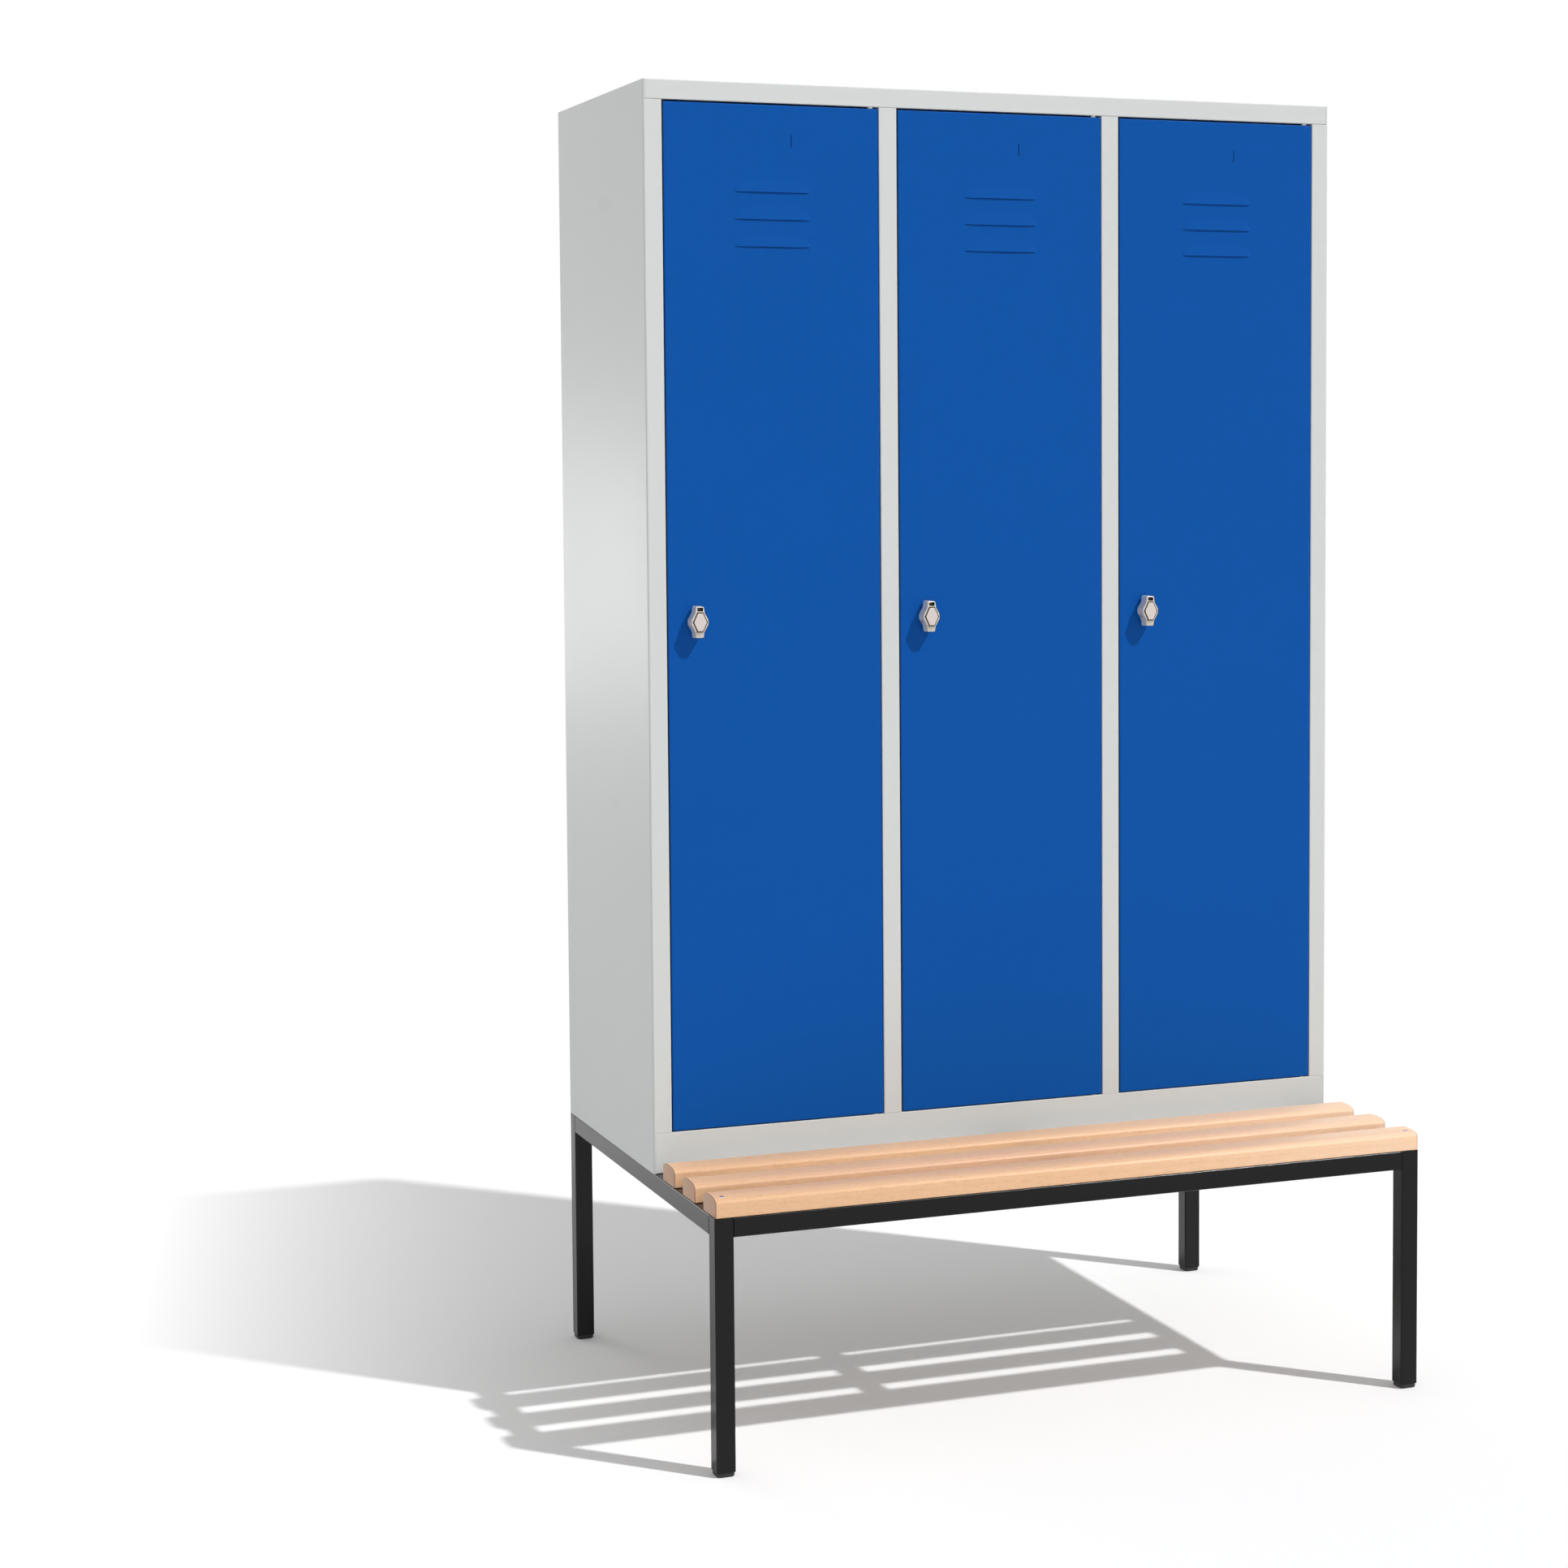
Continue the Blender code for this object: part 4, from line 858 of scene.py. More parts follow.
class LOCKER_OT_side_panels(PieceOperator):
    """Side walls, folded round at the back and into the outer door posts at the front"""
    bl_idname = "locker.side_panels"
    bl_label = "Side walls"

    def execute(self, context):
        size = context.scene.locker_sheets
        stop = FRONT + size.stop_depth
        post = SIDE - size.post_width
        bend, corner = size.small_bend, size.corner_bend
        left = sheet_outline([
            (size.back_flange - SIDE, BACK, 0),
            (-SIDE, BACK, bend),
            (-SIDE, FRONT, corner),
            (-post, FRONT, bend),
            (-post, stop, bend),
            (size.stop_lip - post, stop, 0),
        ], size.body_sheet)
        right = sheet_outline([
            (post, stop, 0),
            (post, FRONT, bend),
            (SIDE, FRONT, corner),
            (SIDE, BACK, bend),
            (SIDE - size.back_flange, BACK, 0),
        ], size.body_sheet)
        # The fold beside the doors is cut away where the rails run behind it.
        inner = SIDE - corner - size.body_sheet
        reach = post - 1.5 * size.stop_lip
        ahead, behind = FRONT - size.post_width, stop + size.post_width
        levels = ((BASE - size.post_width, BOTTOM_RAIL_BOX[1].z + size.clearance),
                  (TOP_RAIL_BOX[0].z - size.clearance, TOP + size.post_width))
        for name, outline, way in (("side_panel_left", left, -1), ("side_panel_right", right, 1)):
            near, far = sorted((way * inner, way * reach))
            notches = [box_mesh((near, ahead, low), (far, behind, high)) for low, high in levels]
            wall = worked(bar(outline, BASE, TOP, "Z"), ("DIFFERENCE", merged(notches)))
            self.put(name, shaded(wall, 35, 6), "body_paint")
        return {"FINISHED"}


class LOCKER_OT_rails_and_posts(PieceOperator):
    """Rails above and below the doors, and the channel posts between them"""
    bl_idname = "locker.rails_and_posts"
    bl_label = "Rails and posts"

    def execute(self, context):
        size = context.scene.locker_sheets
        bend = size.small_bend
        pins = [middle_of("hinge_pin_top_" + side) for side in COMPARTMENTS]
        drill = round_bar(context.scene.locker_doors.pivot_hole, -2 * bend, 2 * bend)
        for name, level in (("top_rail", TOP_RAIL_BOX[0].z), ("bottom_rail", BOTTOM_RAIL_BOX[1].z)):
            low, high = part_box(name)
            outline = sheet_outline([
                (high.y, high.z, 0),
                (low.y, high.z, bend),
                (low.y, low.z, bend),
                (high.y, low.z, 0),
            ], size.body_sheet)
            holes = [placed(drill, (x, y, level)) for x, y, _ in pins]
            rail = worked(bar(outline, low.x, high.x, "X"), ("DIFFERENCE", merged(holes)))
            self.put(name, shaded(rail, 35, 6), "body_paint")
        for name in ("post_left", "post_right"):
            low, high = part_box(name)
            right, stop = low.x + size.post_width, FRONT + size.stop_depth
            outline = sheet_outline([
                (low.x, stop, 0),
                (low.x, FRONT, bend),
                (right, FRONT, bend),
                (right, stop, bend),
                (right + size.stop_lip, stop, 0),
            ], size.body_sheet)
            post = shaded(bar(outline, low.z, high.z, "Z"), 35, 6)
            self.put(name, post, "body_paint")
        return {"FINISHED"}


class LOCKER_OT_sheets(PieceOperator):
    """Finish of the roof, back, floor, partitions and hat shelves, which stay as packed"""
    bl_idname = "locker.sheets"
    bl_label = "Roof and inner sheets"

    def execute(self, context):
        paint_nodes("body_paint", "top_panel", "back_panel", "floor_panel", "partition_left",
                    "partition_right", *["hat_shelf_" + side for side in COMPARTMENTS])
        return {"FINISHED"}


class LOCKER_OT_coat_rods(PieceOperator):
    """Hollow coat rods with a flange at each end"""
    bl_idname = "locker.coat_rods"
    bl_label = "Coat rods"

    def execute(self, context):
        for side in COMPARTMENTS:
            name = "coat_rod_" + side
            low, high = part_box(name)
            flange, width = (high.z - low.z) / 2, high.x - low.x
            profile = softened([
                (ROD_BORE, width / 2),
                (ROD_BORE, width),
                (flange, width),
                (flange, width - ROD_FLANGE),
                (ROD_RADIUS, width - ROD_FLANGE),
                (ROD_RADIUS, ROD_FLANGE),
                (flange, ROD_FLANGE),
                (flange, 0),
                (ROD_BORE, 0),
                (ROD_BORE, width / 2),
            ], 0.0004)
            mesh = placed(turned(profile), (low.x, *middle_of(name)[1:]), "X")
            self.put(name, shaded(mesh, 40), "zinc_plate")
        return {"FINISHED"}


def door_shell(size, width, height):
    """Pan of a door with its lower left front corner at the origin. The section runs from the
    middle of the front over the rounded edge, back along the side, in along the lip, and returns
    one sheet thickness inside that line. Ring k is a rectangle inset by the section's first number,
    at the depth of its second."""
    sheet, edge, lip, depth = size.sheet, size.edge, size.lip, size.depth
    outer = rounded([
        (lip * 2, 0, 0),
        (0, 0, edge),
        (0, depth, edge),
        (lip, depth, 0),
    ], 8, closed=False)
    inner = offset(outer, -sheet)[::-1]
    section = np.concatenate([outer, inner])
    corner = np.maximum(edge - section[:, 0], 0.0002)
    rings = [rectangle(width - 2 * inset, height - 2 * inset, radius, 4)
             for (inset, _), radius in zip(section, corner)]
    grid = along_axis(rings, section[:, 1], "Y")
    return grid_mesh(grid + np.array([width / 2, 0, height / 2]))


def louvre_form(span, reach, height, below, behind):
    """Hood of a vent along X, with its slit on z = 0. Across it, the surface slopes back to the
    sheet, y = -reach (1 - (z / height)^p)^p. Along it, reach and height shrink towards the ends by
    (1 - |s|^5)^0.5, where s runs from -1 to 1."""
    stations = np.sin(np.linspace(-pi / 2, pi / 2, 41)) * 0.999
    shrink = np.sqrt(1 - np.abs(stations) ** 5)
    rise = np.linspace(0, 1, 13)
    sections = []
    for share in shrink:
        z = height * share * rise
        y = -reach * share * (1 - rise ** HOOD_POWER) ** HOOD_POWER
        curve = np.stack([y, z], axis=1)
        back = [(behind, height * share), (behind, -below)]
        if below:
            back.append((-reach * share, -below))
        sections.append(np.concatenate([curve, back]))
    return grid_mesh(along_axis(sections, stations * span / 2, "X"))


class LOCKER_OT_doors(PieceOperator):
    """Doors pressed from one sheet, with louvres, a slit for a name plate and their stiffeners"""
    bl_idname = "locker.doors"
    bl_label = "Doors"

    def execute(self, context):
        size = context.scene.locker_doors
        low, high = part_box("door_left")
        width, height = high.x - low.x, high.z - low.z
        lock_z = middle_of("knob_left")[2] - low.z
        sheet, middle = size.sheet, width / 2
        hoods, slots = [], []
        # Where the hood's slope is one sheet proud, its inner face reaches the door's front.
        meeting = 1 - (sheet / size.louvre_reach) ** (1 / HOOD_POWER)
        slot_height = size.louvre_height * meeting ** (1 / HOOD_POWER)
        for row in range(size.louvres):
            place = (middle, 0, height - size.louvre_drop - row * size.louvre_pitch)
            hood = louvre_form(size.louvre_length, size.louvre_reach, size.louvre_height,
                               0, sheet / 2)
            slot = louvre_form(size.louvre_length - 5 * sheet, size.louvre_reach - sheet,
                               slot_height, sheet / 2, 2 * sheet)
            hoods.append(placed(hood, place))
            slots.append(placed(slot, place))
        slit_x = middle + size.slit_offset
        slit_z = height - size.slit_drop
        slots.append(box_mesh((slit_x - size.slit_width / 2, -sheet, slit_z - size.slit_length),
                              (slit_x + size.slit_width / 2, 3 * sheet, slit_z)))
        neck = round_bar(size.neck_hole, -2 * sheet, 2 * sheet)
        slots.append(placed(neck, (size.lock_inset, 0, lock_z), "-Y"))
        pin = round_bar(size.pivot_hole, -2 * sheet, 2 * sheet)
        for z in (0, height):
            slots.append(placed(pin, (width - size.pivot_inset, size.pivot_setback, z)))
        skin = worked(door_shell(size, width, height), ("UNION", merged(hoods)),
                      ("DIFFERENCE", merged(slots)))
        shaded(skin, 24, 8)
        for side in COMPARTMENTS:
            name = "door_" + side
            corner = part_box(name)[0]
            mesh = placed(skin, (corner.x, FRONT, corner.z))
            self.put(name, mesh, "door_paint", name + "_leaf")
            paint_nodes("door_paint", "door_stiffener_" + side)
        return {"FINISHED"}


class LOCKER_OT_hinge_pins(PieceOperator):
    """Riveted pivot pins at the top and bottom of each door"""
    bl_idname = "locker.hinge_pins"
    bl_label = "Hinge pins"

    def execute(self, context):
        gap = context.scene.locker_sheets.clearance
        seat = context.scene.locker_doors.sheet + gap
        for side in COMPARTMENTS:
            door_low, door_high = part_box("door_" + side)
            for end, edge, rail, facing in (("top", door_high.z, TOP_RAIL_BOX[0].z, "Z"),
                                            ("bottom", door_low.z, BOTTOM_RAIL_BOX[1].z, "-Z")):
                node = f"hinge_pin_{end}_{side}"
                low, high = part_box(node)
                tip, foot = high.z - edge, edge - low.z
                if facing == "-Z":
                    tip, foot = foot, tip
                collar = abs(rail - edge) - gap
                profile = softened([
                    (0, tip),
                    (PIN_RADIUS, tip),
                    (PIN_RADIUS, collar),
                    (COLLAR_RADIUS, collar),
                    (COLLAR_RADIUS, gap),
                    (PIN_RADIUS, gap),
                    (PIN_RADIUS, -seat),
                    (RIVET_RADIUS, -seat),
                    (RIVET_RADIUS, -foot),
                    (0, -foot),
                ], 0.0003)
                mesh = placed(turned(profile, 32), (*middle_of(node)[:2], edge), facing)
                self.put(node, shaded(mesh, 40), "zinc_plate", "door_" + side + "_leaf")
        return {"FINISHED"}


def knob_corners(size):
    """Half of the knob's outline from its lower to its upper end, as (across, up, radius)."""
    lower = [
        (ARM_END, -size.half_height, ARM_END_ROUND),
        (ARM_ROOT, -ARM_ROOT_UP, ARM_ROOT_ROUND),
        (size.half_width, -WAIST_UP, WAIST_ROUND),
    ]
    return lower + [(x, -y, radius) for x, y, radius in reversed(lower)]


def face_corners(extra):
    """Tall hexagon of the knob's raised face, grown on all sides by extra."""
    top, high, wide = FACE_TOP + extra / 2, FACE_HIGH + extra, FACE_WIDE + extra
    return [(top, high, FACE_ROUND), (-top, high, FACE_ROUND), (-wide, 0, FACE_WAIST_ROUND),
            (-top, -high, FACE_ROUND), (top, -high, FACE_ROUND), (wide, 0, FACE_WAIST_ROUND)]


def knob_body(size, back):
    """Knob from its back at a height above the door to its raised face. Ring k is the outline of
    its stage at 480 angles: the body's outline, inset along a quarter circle at its two rims and
    drawn in towards the front, then the hexagon of the face with its groove, down and up again, to
    the middle."""
    angles = np.linspace(-pi, pi, 480, endpoint=False)
    right = knob_corners(size)
    left = [(-x, y, radius) for x, y, radius in reversed(right)]
    body = rounded(right + left, 10)
    front = back + size.depth
    rings = [(0 * angles, back)]

    def body_ring(inset, height):
        """Add the body's outline, inset, at a height."""
        share = (height - back) / size.depth
        outline = offset(body, inset, closed=True) * [1 - NARROWER * share, 1 - LOWER * share]
        rings.append((seen_by_angle(outline, angles), height))

    def face_ring(extra, height):
        """Add the face's hexagon, grown by extra, at a height."""
        rings.append((seen_by_angle(rounded(face_corners(extra), 8), angles), height))

    for out, rise in quarter_round(6):
        body_ring(BACK_EASE * out, back + BACK_EASE * rise)
    for rise, out in quarter_round(6):
        body_ring(FRONT_EASE * out, front - FRONT_EASE * rise)
    floor, crest = front - size.groove_depth, front + size.face_raise
    face_ring(size.groove + GROOVE_EASE, front)
    face_ring(size.groove, front - GROOVE_EASE)
    face_ring(size.groove, floor)
    face_ring(0, floor)
    for rise, out in quarter_round(6):
        face_ring(-FACE_EASE * out, crest - FACE_EASE * rise)
    rings.append((0 * angles, crest))
    radius = np.array([ring for ring, _ in rings])
    height = np.array([level for _, level in rings])
    outlines = np.stack([radius * np.cos(angles), radius * np.sin(angles)], axis=-1)
    return grid_mesh(along_axis(outlines, height, "Z"), caps=False)


def knob_mesh(size, back, gap):
    """The knob with its pocket, step, hollow and eye, and its spindle with the cam's rivet."""
    front = back + size.depth
    level = back + EYE_LEVEL
    pocket_middle = size.half_height - POCKET_DROP - POCKET_HEIGHT / 2
    pocket = bar(rectangle(POCKET_WIDTH, POCKET_HEIGHT, POCKET_ROUND, 4) + [0, pocket_middle],
                 front - POCKET_DEPTH, front + POCKET_DEPTH, "Z")
    far = 2 * size.half_height
    step = box_mesh((-far, -far, front - STEP_DEPTH), (far, STEP_UP, front + far))
    hollow = round_bar(HOLLOW_RADIUS, back - HOLLOW_DEPTH, back + HOLLOW_DEPTH)
    tunnel = box_mesh((-far, -EYE_FAR, level), (far, -EYE_NEAR, level + EYE_HEIGHT))
    cam_low, cam_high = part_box("cam_left")
    cam_face = FRONT - cam_low.y + gap
    rivet = FRONT - cam_high.y - gap
    spindle = turned([
        (0, back + SPINDLE_REACH),
        (size.spindle, back + SPINDLE_REACH),
        (size.spindle, cam_face),
        (CAM_NECK, cam_face),
        (CAM_NECK, rivet),
        (CAM_RIVET, rivet),
        (CAM_RIVET, rivet - CAM_RIVET_HEIGHT),
        (0, rivet - CAM_RIVET_HEIGHT),
    ])
    cuts = [("DIFFERENCE", cut) for cut in (pocket, step, hollow, tunnel)]
    return shaded(worked(knob_body(size, back), *cuts, ("UNION", spindle)), 32, 30)


def rosette_mesh(size, back, gap, sheet):
    """The rosette with its neck through the door, the clip behind it, and the lug with its eye."""
    top = size.rosette_thickness + gap
    clip = -sheet - gap
    bore = size.spindle + gap
    rosette = turned(softened([
        (ROSETTE_BORE, top),
        (size.rosette, top),
        (size.rosette, gap),
        (ROSETTE_NECK, gap),
        (ROSETTE_NECK, clip),
        (CLIP_RADIUS, clip),
        (CLIP_RADIUS, clip - CLIP_THICKNESS),
        (bore, clip - CLIP_THICKNESS),
        (bore, top),
        (ROSETTE_BORE, top),
    ], 0.0002, 2), 64)
    level = back + EYE_LEVEL
    lug = box_mesh((-EYE_FAR - LUG_WALL, -LUG_HALF, LUG_LOW),
                   (LUG_WALL - EYE_NEAR, LUG_HALF, LUG_HIGH))
    eye = box_mesh((-EYE_FAR, -5 * LUG_HALF, level), (-EYE_NEAR, 5 * LUG_HALF, level + EYE_HEIGHT))
    return shaded(worked(rosette, ("UNION", lug), ("DIFFERENCE", eye)), 35)


class LOCKER_OT_turn_bolts(PieceOperator):
    """Nickel turn bolts: a rosette with its eye, and the knob with its spindle and bolt"""
    bl_idname = "locker.turn_bolts"
    bl_label = "Turn bolts"

    def execute(self, context):
        size = context.scene.locker_bolts
        gap = context.scene.locker_sheets.clearance
        back = size.rosette_thickness + 2 * gap
        knob = knob_mesh(size, back, gap)
        base = rosette_mesh(size, back, gap, context.scene.locker_doors.sheet)
        for side in COMPARTMENTS:
            name = "knob_" + side
            x, _, z = middle_of(name)
            self.put(name, placed(knob, (x, FRONT, z), "-Y"), "nickel", "turn_bolt_" + side)
            name = "lock_base_" + side
            leaf = "door_" + side + "_leaf"
            self.put(name, placed(base, (x, FRONT, z), "-Y"), "nickel", leaf)
            paint_nodes("zinc_plate", "cam_" + side)
        return {"FINISHED"}


def tube_outlines(node, size, across, up):
    """Outer and inner outline of a square tube, centred on its box."""
    low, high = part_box(node)
    middle = middle_of(node)
    width, height = high[across] - low[across], high[up] - low[up]
    outer = rectangle(width, height, size.tube_corner, 8)
    inner = rectangle(width - 2 * size.tube_wall, height - 2 * size.tube_wall, INSIDE_CORNER, 8)
    return outer + [middle[across], middle[up]], inner + [middle[across], middle[up]]


class LOCKER_OT_frame(PieceOperator):
    """Legs and rails of square tube"""
    bl_idname = "locker.frame"
    bl_label = "Tube frame"

    def execute(self, context):
        size = context.scene.locker_bench
        for name, axis in (("front_tube", "X"), ("cross_tube", "X"), ("back_tube", "X"),
                           ("side_tube_left", "Y"), ("side_tube_right", "Y"), ("middle_tube", "Y")):
            along, across = (0, 1) if axis == "X" else (1, 0)
            start, end = (corner[along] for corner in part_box(name))
            outer, inner = tube_outlines(name, size, across, 2)
            grid = along_axis([inner, outer, outer, inner], [start, start, end, end], axis)
            mesh = shaded(grid_mesh(grid, wrap_rows=True), 35, 6)
            self.put(name, mesh, "frame_paint")
        for place in LEG_PLACES:
            name = "leg_" + place
            low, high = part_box(name)
            outer, inner = tube_outlines(name, size, 0, 1)
            centre = np.broadcast_to(outer.mean(axis=0), outer.shape)
            half = (high.x - low.x) / 2
            rises, ins = quarter_round(6).T * LEG_EASE
            rim = [centre + (outer - centre) * (1 - step / half) for step in ins]
            ceiling = high.z - size.tube_wall
            stations = [ceiling, ceiling, low.z, low.z, *(high.z - rises), high.z]
            mesh = grid_mesh(along_axis([centre, inner, inner, outer, *rim, centre], stations, "Z"),
                             caps=False)
            if place.startswith("front"):
                hole = placed(round_bar(SHANK_HOLE, -0.01, 0.01), (*middle_of(name)[:2], high.z))
                mesh = worked(mesh, ("DIFFERENCE", hole))
            self.put(name, shaded(mesh, 35, 6), "frame_paint")
        return {"FINISHED"}


class LOCKER_OT_feet(PieceOperator):
    """Plastic caps that the legs stand on"""
    bl_idname = "locker.feet"
    bl_label = "Foot caps"

    def execute(self, context):
        gap = context.scene.locker_sheets.clearance
        wall = context.scene.locker_bench.tube_wall
        for place in LEG_PLACES:
            name = "foot_cap_" + place
            low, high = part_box(name)
            leg_low, leg_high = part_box("leg_" + place)
            width = high.x - low.x
            plug = leg_high.x - leg_low.x - 2 * (wall + gap)
            pad_top = leg_low.z - gap
            lower = [(width, low.z)] + quarter_round(7) * CAP_LOWER * [-1, 1]
            upper = [(width, pad_top)] - quarter_round(7)[:, ::-1] * CAP_UPPER
            stages = [(0.0001, low.z), *lower, *upper, (plug, pad_top), (plug, high.z - PLUG_EASE),
                      (plug - 2 * PLUG_EASE, high.z), (0.0001, high.z)]
            rings = [rectangle(w, w, min(CAP_CORNER, w * 0.45), 8) + middle_of(name)[:2]
                     for w, _ in stages]
            mesh = grid_mesh(along_axis(rings, [z for _, z in stages], "Z"))
            self.put(name, shaded(mesh, 35), "foot_plastic")
        return {"FINISHED"}


def slat_outline(width, height, size):
    """Section of a slat: flat below with eased corners, upright sides, and a crown on the
    superellipse |x / half|^p + |z / rise|^p = 1, which is x = half cos(a)^(2/p) and z = rise
    sin(a)^(2/p)."""
    half, rise = width / 2, height - size.slat_side
    angle = np.linspace(0, pi, 61)
    power = 2 / size.crown
    x = half * np.sign(np.cos(angle)) * np.abs(np.cos(angle)) ** power
    z = size.slat_side + rise * np.clip(np.sin(angle), 0, 1) ** power
    crown = np.column_stack([x, z, 0 * x])
    foot = [(-half, 0, size.slat_ease), (half, 0, size.slat_ease)]
    return rounded(np.concatenate([crown, foot]), 6)


class LOCKER_OT_seat(PieceOperator):
    """Crowned beech slats"""
    bl_idname = "locker.seat"
    bl_label = "Seat slats"

    def execute(self, context):
        size = context.scene.locker_bench
        for row in (1, 2, 3):
            name = f"seat_slat_{row}"
            low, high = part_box(name)
            outline = slat_outline(high.y - low.y, high.z - low.z, size)
            outline += [middle_of(name)[1], low.z]
            ease = size.slat_end
            eased = offset(outline, ease, closed=True)
            half = offset(outline, ease * 0.3, closed=True)
            ends = np.array([0, ease * 0.3, ease])
            sections = [eased, half, outline, outline, half, eased]
            stations = [*(low.x + ends), *(high.x - ends[::-1])]
            mesh = grid_mesh(along_axis(sections, stations, "X"))
            if row == 1:
                bit = turned([(0, 0.01), (HEAD_HOLE, 0.01), (HEAD_HOLE, 0), (SHANK_HOLE, 0),
                              (SHANK_HOLE, -0.05), (0, -0.05)])
                holes = [placed(bit, (*middle_of("seat_screw_" + side)[:2], high.z - HEAD_SUNK))
                         for side in ("left", "right")]
                mesh = worked(mesh, ("DIFFERENCE", merged(holes)))
            self.put(name, shaded(mesh, 35), "beech")
        return {"FINISHED"}


class LOCKER_OT_small_parts(PieceOperator):
    """Seat screws and the rubber buffers behind the doors"""
    bl_idname = "locker.small_parts"
    bl_label = "Screws and buffers"

    def execute(self, context):
        for side in ("left", "right"):
            name = "seat_screw_" + side
            low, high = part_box(name)
            rim = HEAD_RIM + HEAD_DOME
            shank = high.z - low.z - rim
            angle = np.linspace(pi / 2, 0, 8)
            x, z = HEAD_RADIUS * np.cos(angle), HEAD_RIM + HEAD_DOME * np.sin(angle)
            below = [(HEAD_RADIUS, 0), (SHANK_RADIUS, 0), (SHANK_RADIUS, -shank), (0, -shank)]
            profile = np.concatenate([np.column_stack([x, z]), below])
            cuts = []
            for x, y in ((CROSS_LENGTH / 2, CROSS_WIDTH / 2), (CROSS_WIDTH / 2, CROSS_LENGTH / 2)):
                cuts.append(("DIFFERENCE", box_mesh((-x, -y, CROSS_FLOOR), (x, y, 0.004))))
            head = placed(worked(turned(profile), *cuts), (*middle_of(name)[:2], high.z - rim))
            self.put(name, shaded(head, 35), "zinc_plate")
        for side in COMPARTMENTS:
            name = "door_buffer_" + side
            low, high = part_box(name)
            radius, depth = (high.x - low.x) / 2, high.y - low.y
            profile = softened([(0, depth), (radius, depth), (radius, 0), (0, 0)], 0.0008)
            x, _, z = middle_of(name)
            mesh = placed(turned(profile), (x, high.y, z), "-Y")
            self.put(name, shaded(mesh, 40), "rubber")
        return {"FINISHED"}


def floor_finish():
    """Pale floor. To the camera and in reflections it is white, less the shade that the object
    leaves on it, and that shade fades out to the left. All other rays meet an ordinary pale
    surface."""
    studio = bpy.context.scene.locker_studio
    finish = Finish("pale_floor", roughness=0.9, base_color=(0.80, 0.80, 0.80),
                    specular_ior_level=0.0)
    ray = finish.outputs("ShaderNodeLightPath")
    shown = (ray["Is Camera Ray"] + ray["Is Glossy Ray"] + ray["Is Transmission Ray"]).held()
    x, y, _ = finish.axes()
    left = x * studio.fade_way[0] + y * studio.fade_way[1]
    passed = (left - studio.fade_start) * (1 / (studio.fade_end - studio.fade_start))
    away = (x.squared() + y.squared()) ** 0.5
    far = away.ramp(studio.fade_far, 2 * studio.fade_far)
    faded = (passed.held() ** studio.fade_power + far).held()
    pale = finish.add("ShaderNodeBsdfDiffuse", None, {"Color": (studio.floor_white,) * 3})
    glow = finish.add("ShaderNodeEmission", None, {"Strength": studio.floor_glow})
    white = finish.add("ShaderNodeEmission", None, {"Strength": 1.0})
    lit = finish.add("ShaderNodeAddShader", None, {0: pale, 1: glow})
    shaded_off = finish.add("ShaderNodeMixShader", None, {0: faded, 1: lit, 2: white})
    plain = Field(finish, finish.shader.outputs[0])
    chosen = finish.add("ShaderNodeMixShader", None, {0: shown, 1: plain, 2: shaded_off})
    in_room = (1 - y.ramp(-1.0, 0.3)) * ray["Is Glossy Ray"] * (1 - studio.room)
    black = finish.add("ShaderNodeEmission", None, {"Strength": 0.0})
    dimmed = finish.add("ShaderNodeMixShader", None, {0: in_room, 1: chosen, 2: black})
    finish.feed(finish.tree.nodes["Material Output"].inputs["Surface"], dimmed)
    return finish.material


class Surroundings(Finish):
    """A world that is written the same way. Its place is the direction of sight."""

    def __init__(self, name):
        self.world = bpy.data.worlds.new(name)
        self.world.use_nodes = True
        self.tree = self.world.node_tree
        self.shader = self.tree.nodes["Background"]
        self.place = self.add("ShaderNodeTexCoord")


def white_surroundings(studio):
    """World that lights the scene evenly and is white to the camera. Reflections see white behind
    and above the object and a dimmer room in front of it."""
    room = Surroundings("studio")
    ray = room.outputs("ShaderNodeLightPath")
    _, y, z = room.axes()
    bright = (y.ramp(-0.30, 0.40) + z.ramp(0.45, 0.85)).held()
    mirrored = (studio.room + (1 - studio.room) * bright) * ray["Is Glossy Ray"]
    seen = (ray["Is Camera Ray"] + ray["Is Transmission Ray"]).held()
    others = (1 - (seen + ray["Is Glossy Ray"]).held()) * studio.fill
    room.set(color=(1, 1, 1), strength=seen + mirrored + others)
    return room.world


def stand(name, data, place=(0, 0, 0), turn=(0, 0, 0)):
    """Put a lamp, the camera or the floor in the scene."""
    item = bpy.data.objects.new(name, data)
    item.location = place
    item.rotation_euler = turn
    bpy.context.scene.collection.objects.link(item)
    return item


def lamp_turn(way):
    """Turn of a lamp that shines against a direction."""
    return Vector(way).to_track_quat("Z", "Y").to_euler()


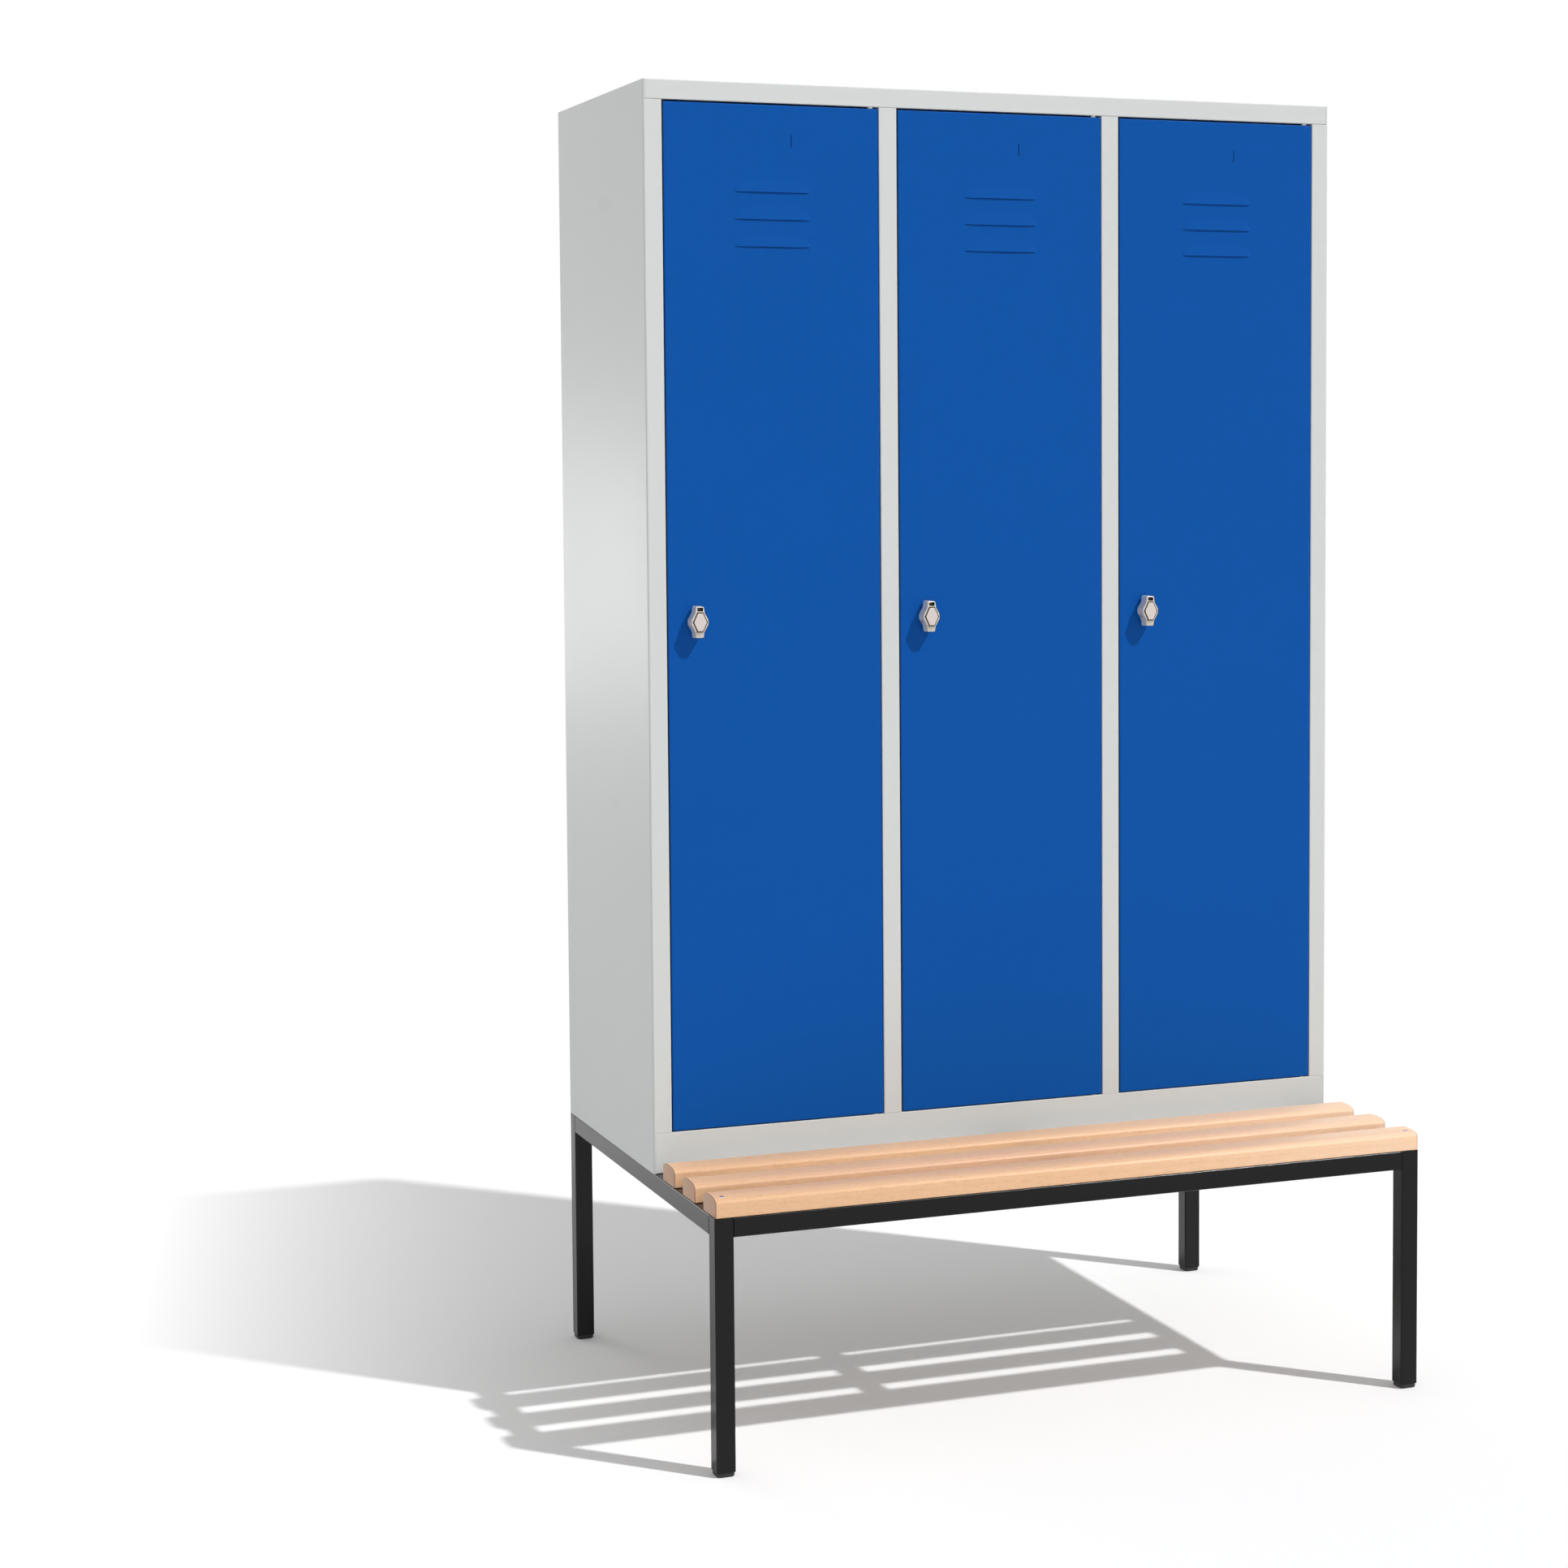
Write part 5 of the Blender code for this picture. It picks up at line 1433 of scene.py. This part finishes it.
class LOCKER_OT_studio(PieceOperator):
    """Pale floor, a main lamp, even light all round and the camera"""
    bl_idname = "locker.studio"
    bl_label = "Studio"

    def execute(self, context):
        studio = context.scene.locker_studio
        reach = 60.0
        floor = bpy.data.meshes.new("floor")
        corners = [(-reach, -reach, 0), (reach, -reach, 0), (reach, reach, 0), (-reach, reach, 0)]
        floor.from_pydata(corners, [], [(0, 1, 2, 3)])
        floor.materials.append(floor_finish())
        stand("floor", floor)
        context.scene.world = white_surroundings(studio)

        key = bpy.data.lights.new("key_lamp", "SUN")
        key.energy = studio.key_strength
        key.angle = studio.key_spread
        stand("key_lamp", key, turn=lamp_turn(studio.key_way))

        rim = bpy.data.lights.new("rim_lamp", "AREA")
        rim.shape = "RECTANGLE"
        rim.energy = studio.rim_power
        rim.size = studio.rim_width
        rim.size_y = studio.rim_height
        aim = Vector((-SIDE, (FRONT + BACK) / 2, (BASE + TOP) / 2))
        lamp = stand("rim_lamp", rim, studio.rim_place, lamp_turn(Vector(studio.rim_place) - aim))
        lamp.visible_camera = False

        camera = bpy.data.cameras.new("camera")
        camera.sensor_width = 36
        camera.lens = studio.lens
        camera.shift_x = studio.shift_x
        camera.shift_y = studio.shift_y
        camera.clip_end = 200
        bpy.context.scene.camera = stand("camera", camera, studio.place, studio.turn)
        context.scene.view_settings.view_transform = "Standard"
        return {"FINISHED"}


STEPS = (
    LOCKER_OT_side_panels,
    LOCKER_OT_rails_and_posts,
    LOCKER_OT_sheets,
    LOCKER_OT_coat_rods,
    LOCKER_OT_doors,
    LOCKER_OT_hinge_pins,
    LOCKER_OT_turn_bolts,
    LOCKER_OT_frame,
    LOCKER_OT_feet,
    LOCKER_OT_seat,
    LOCKER_OT_small_parts,
    LOCKER_OT_studio,
)


class LOCKER_PT_panel(bpy.types.Panel):
    """Lists the steps in the 3D view's sidebar"""
    bl_label = "Locker with bench"
    bl_idname = "LOCKER_PT_panel"
    bl_space_type = "VIEW_3D"
    bl_region_type = "UI"
    bl_category = "Locker"

    def draw(self, context):
        for step in STEPS:
            self.layout.operator(step.bl_idname)
        for name, group in SETTINGS.items():
            box = self.layout.box()
            box.label(text=group.__doc__)
            for key in group.__annotations__:
                box.prop(getattr(context.scene, name), key)


def register():
    """Add the settings, operators and panel. Each setting is labelled with its own name."""
    for name, group in SETTINGS.items():
        for key, setting in group.__annotations__.items():
            setting.keywords["name"] = key.replace("_", " ").capitalize()
        bpy.utils.register_class(group)
        setattr(bpy.types.Scene, name, PointerProperty(type=group))
    for item in (*STEPS, LOCKER_PT_panel):
        bpy.utils.register_class(item)


def unregister():
    """Take them out again."""
    for item in reversed((*STEPS, LOCKER_PT_panel)):
        bpy.utils.unregister_class(item)
    for name, group in reversed(list(SETTINGS.items())):
        delattr(bpy.types.Scene, name)
        bpy.utils.unregister_class(group)


def main():
    """Run every step."""
    register()
    for step in STEPS:
        category, name = step.bl_idname.split(".")
        getattr(getattr(bpy.ops, category), name)()


if __name__ == "__main__":
    main()
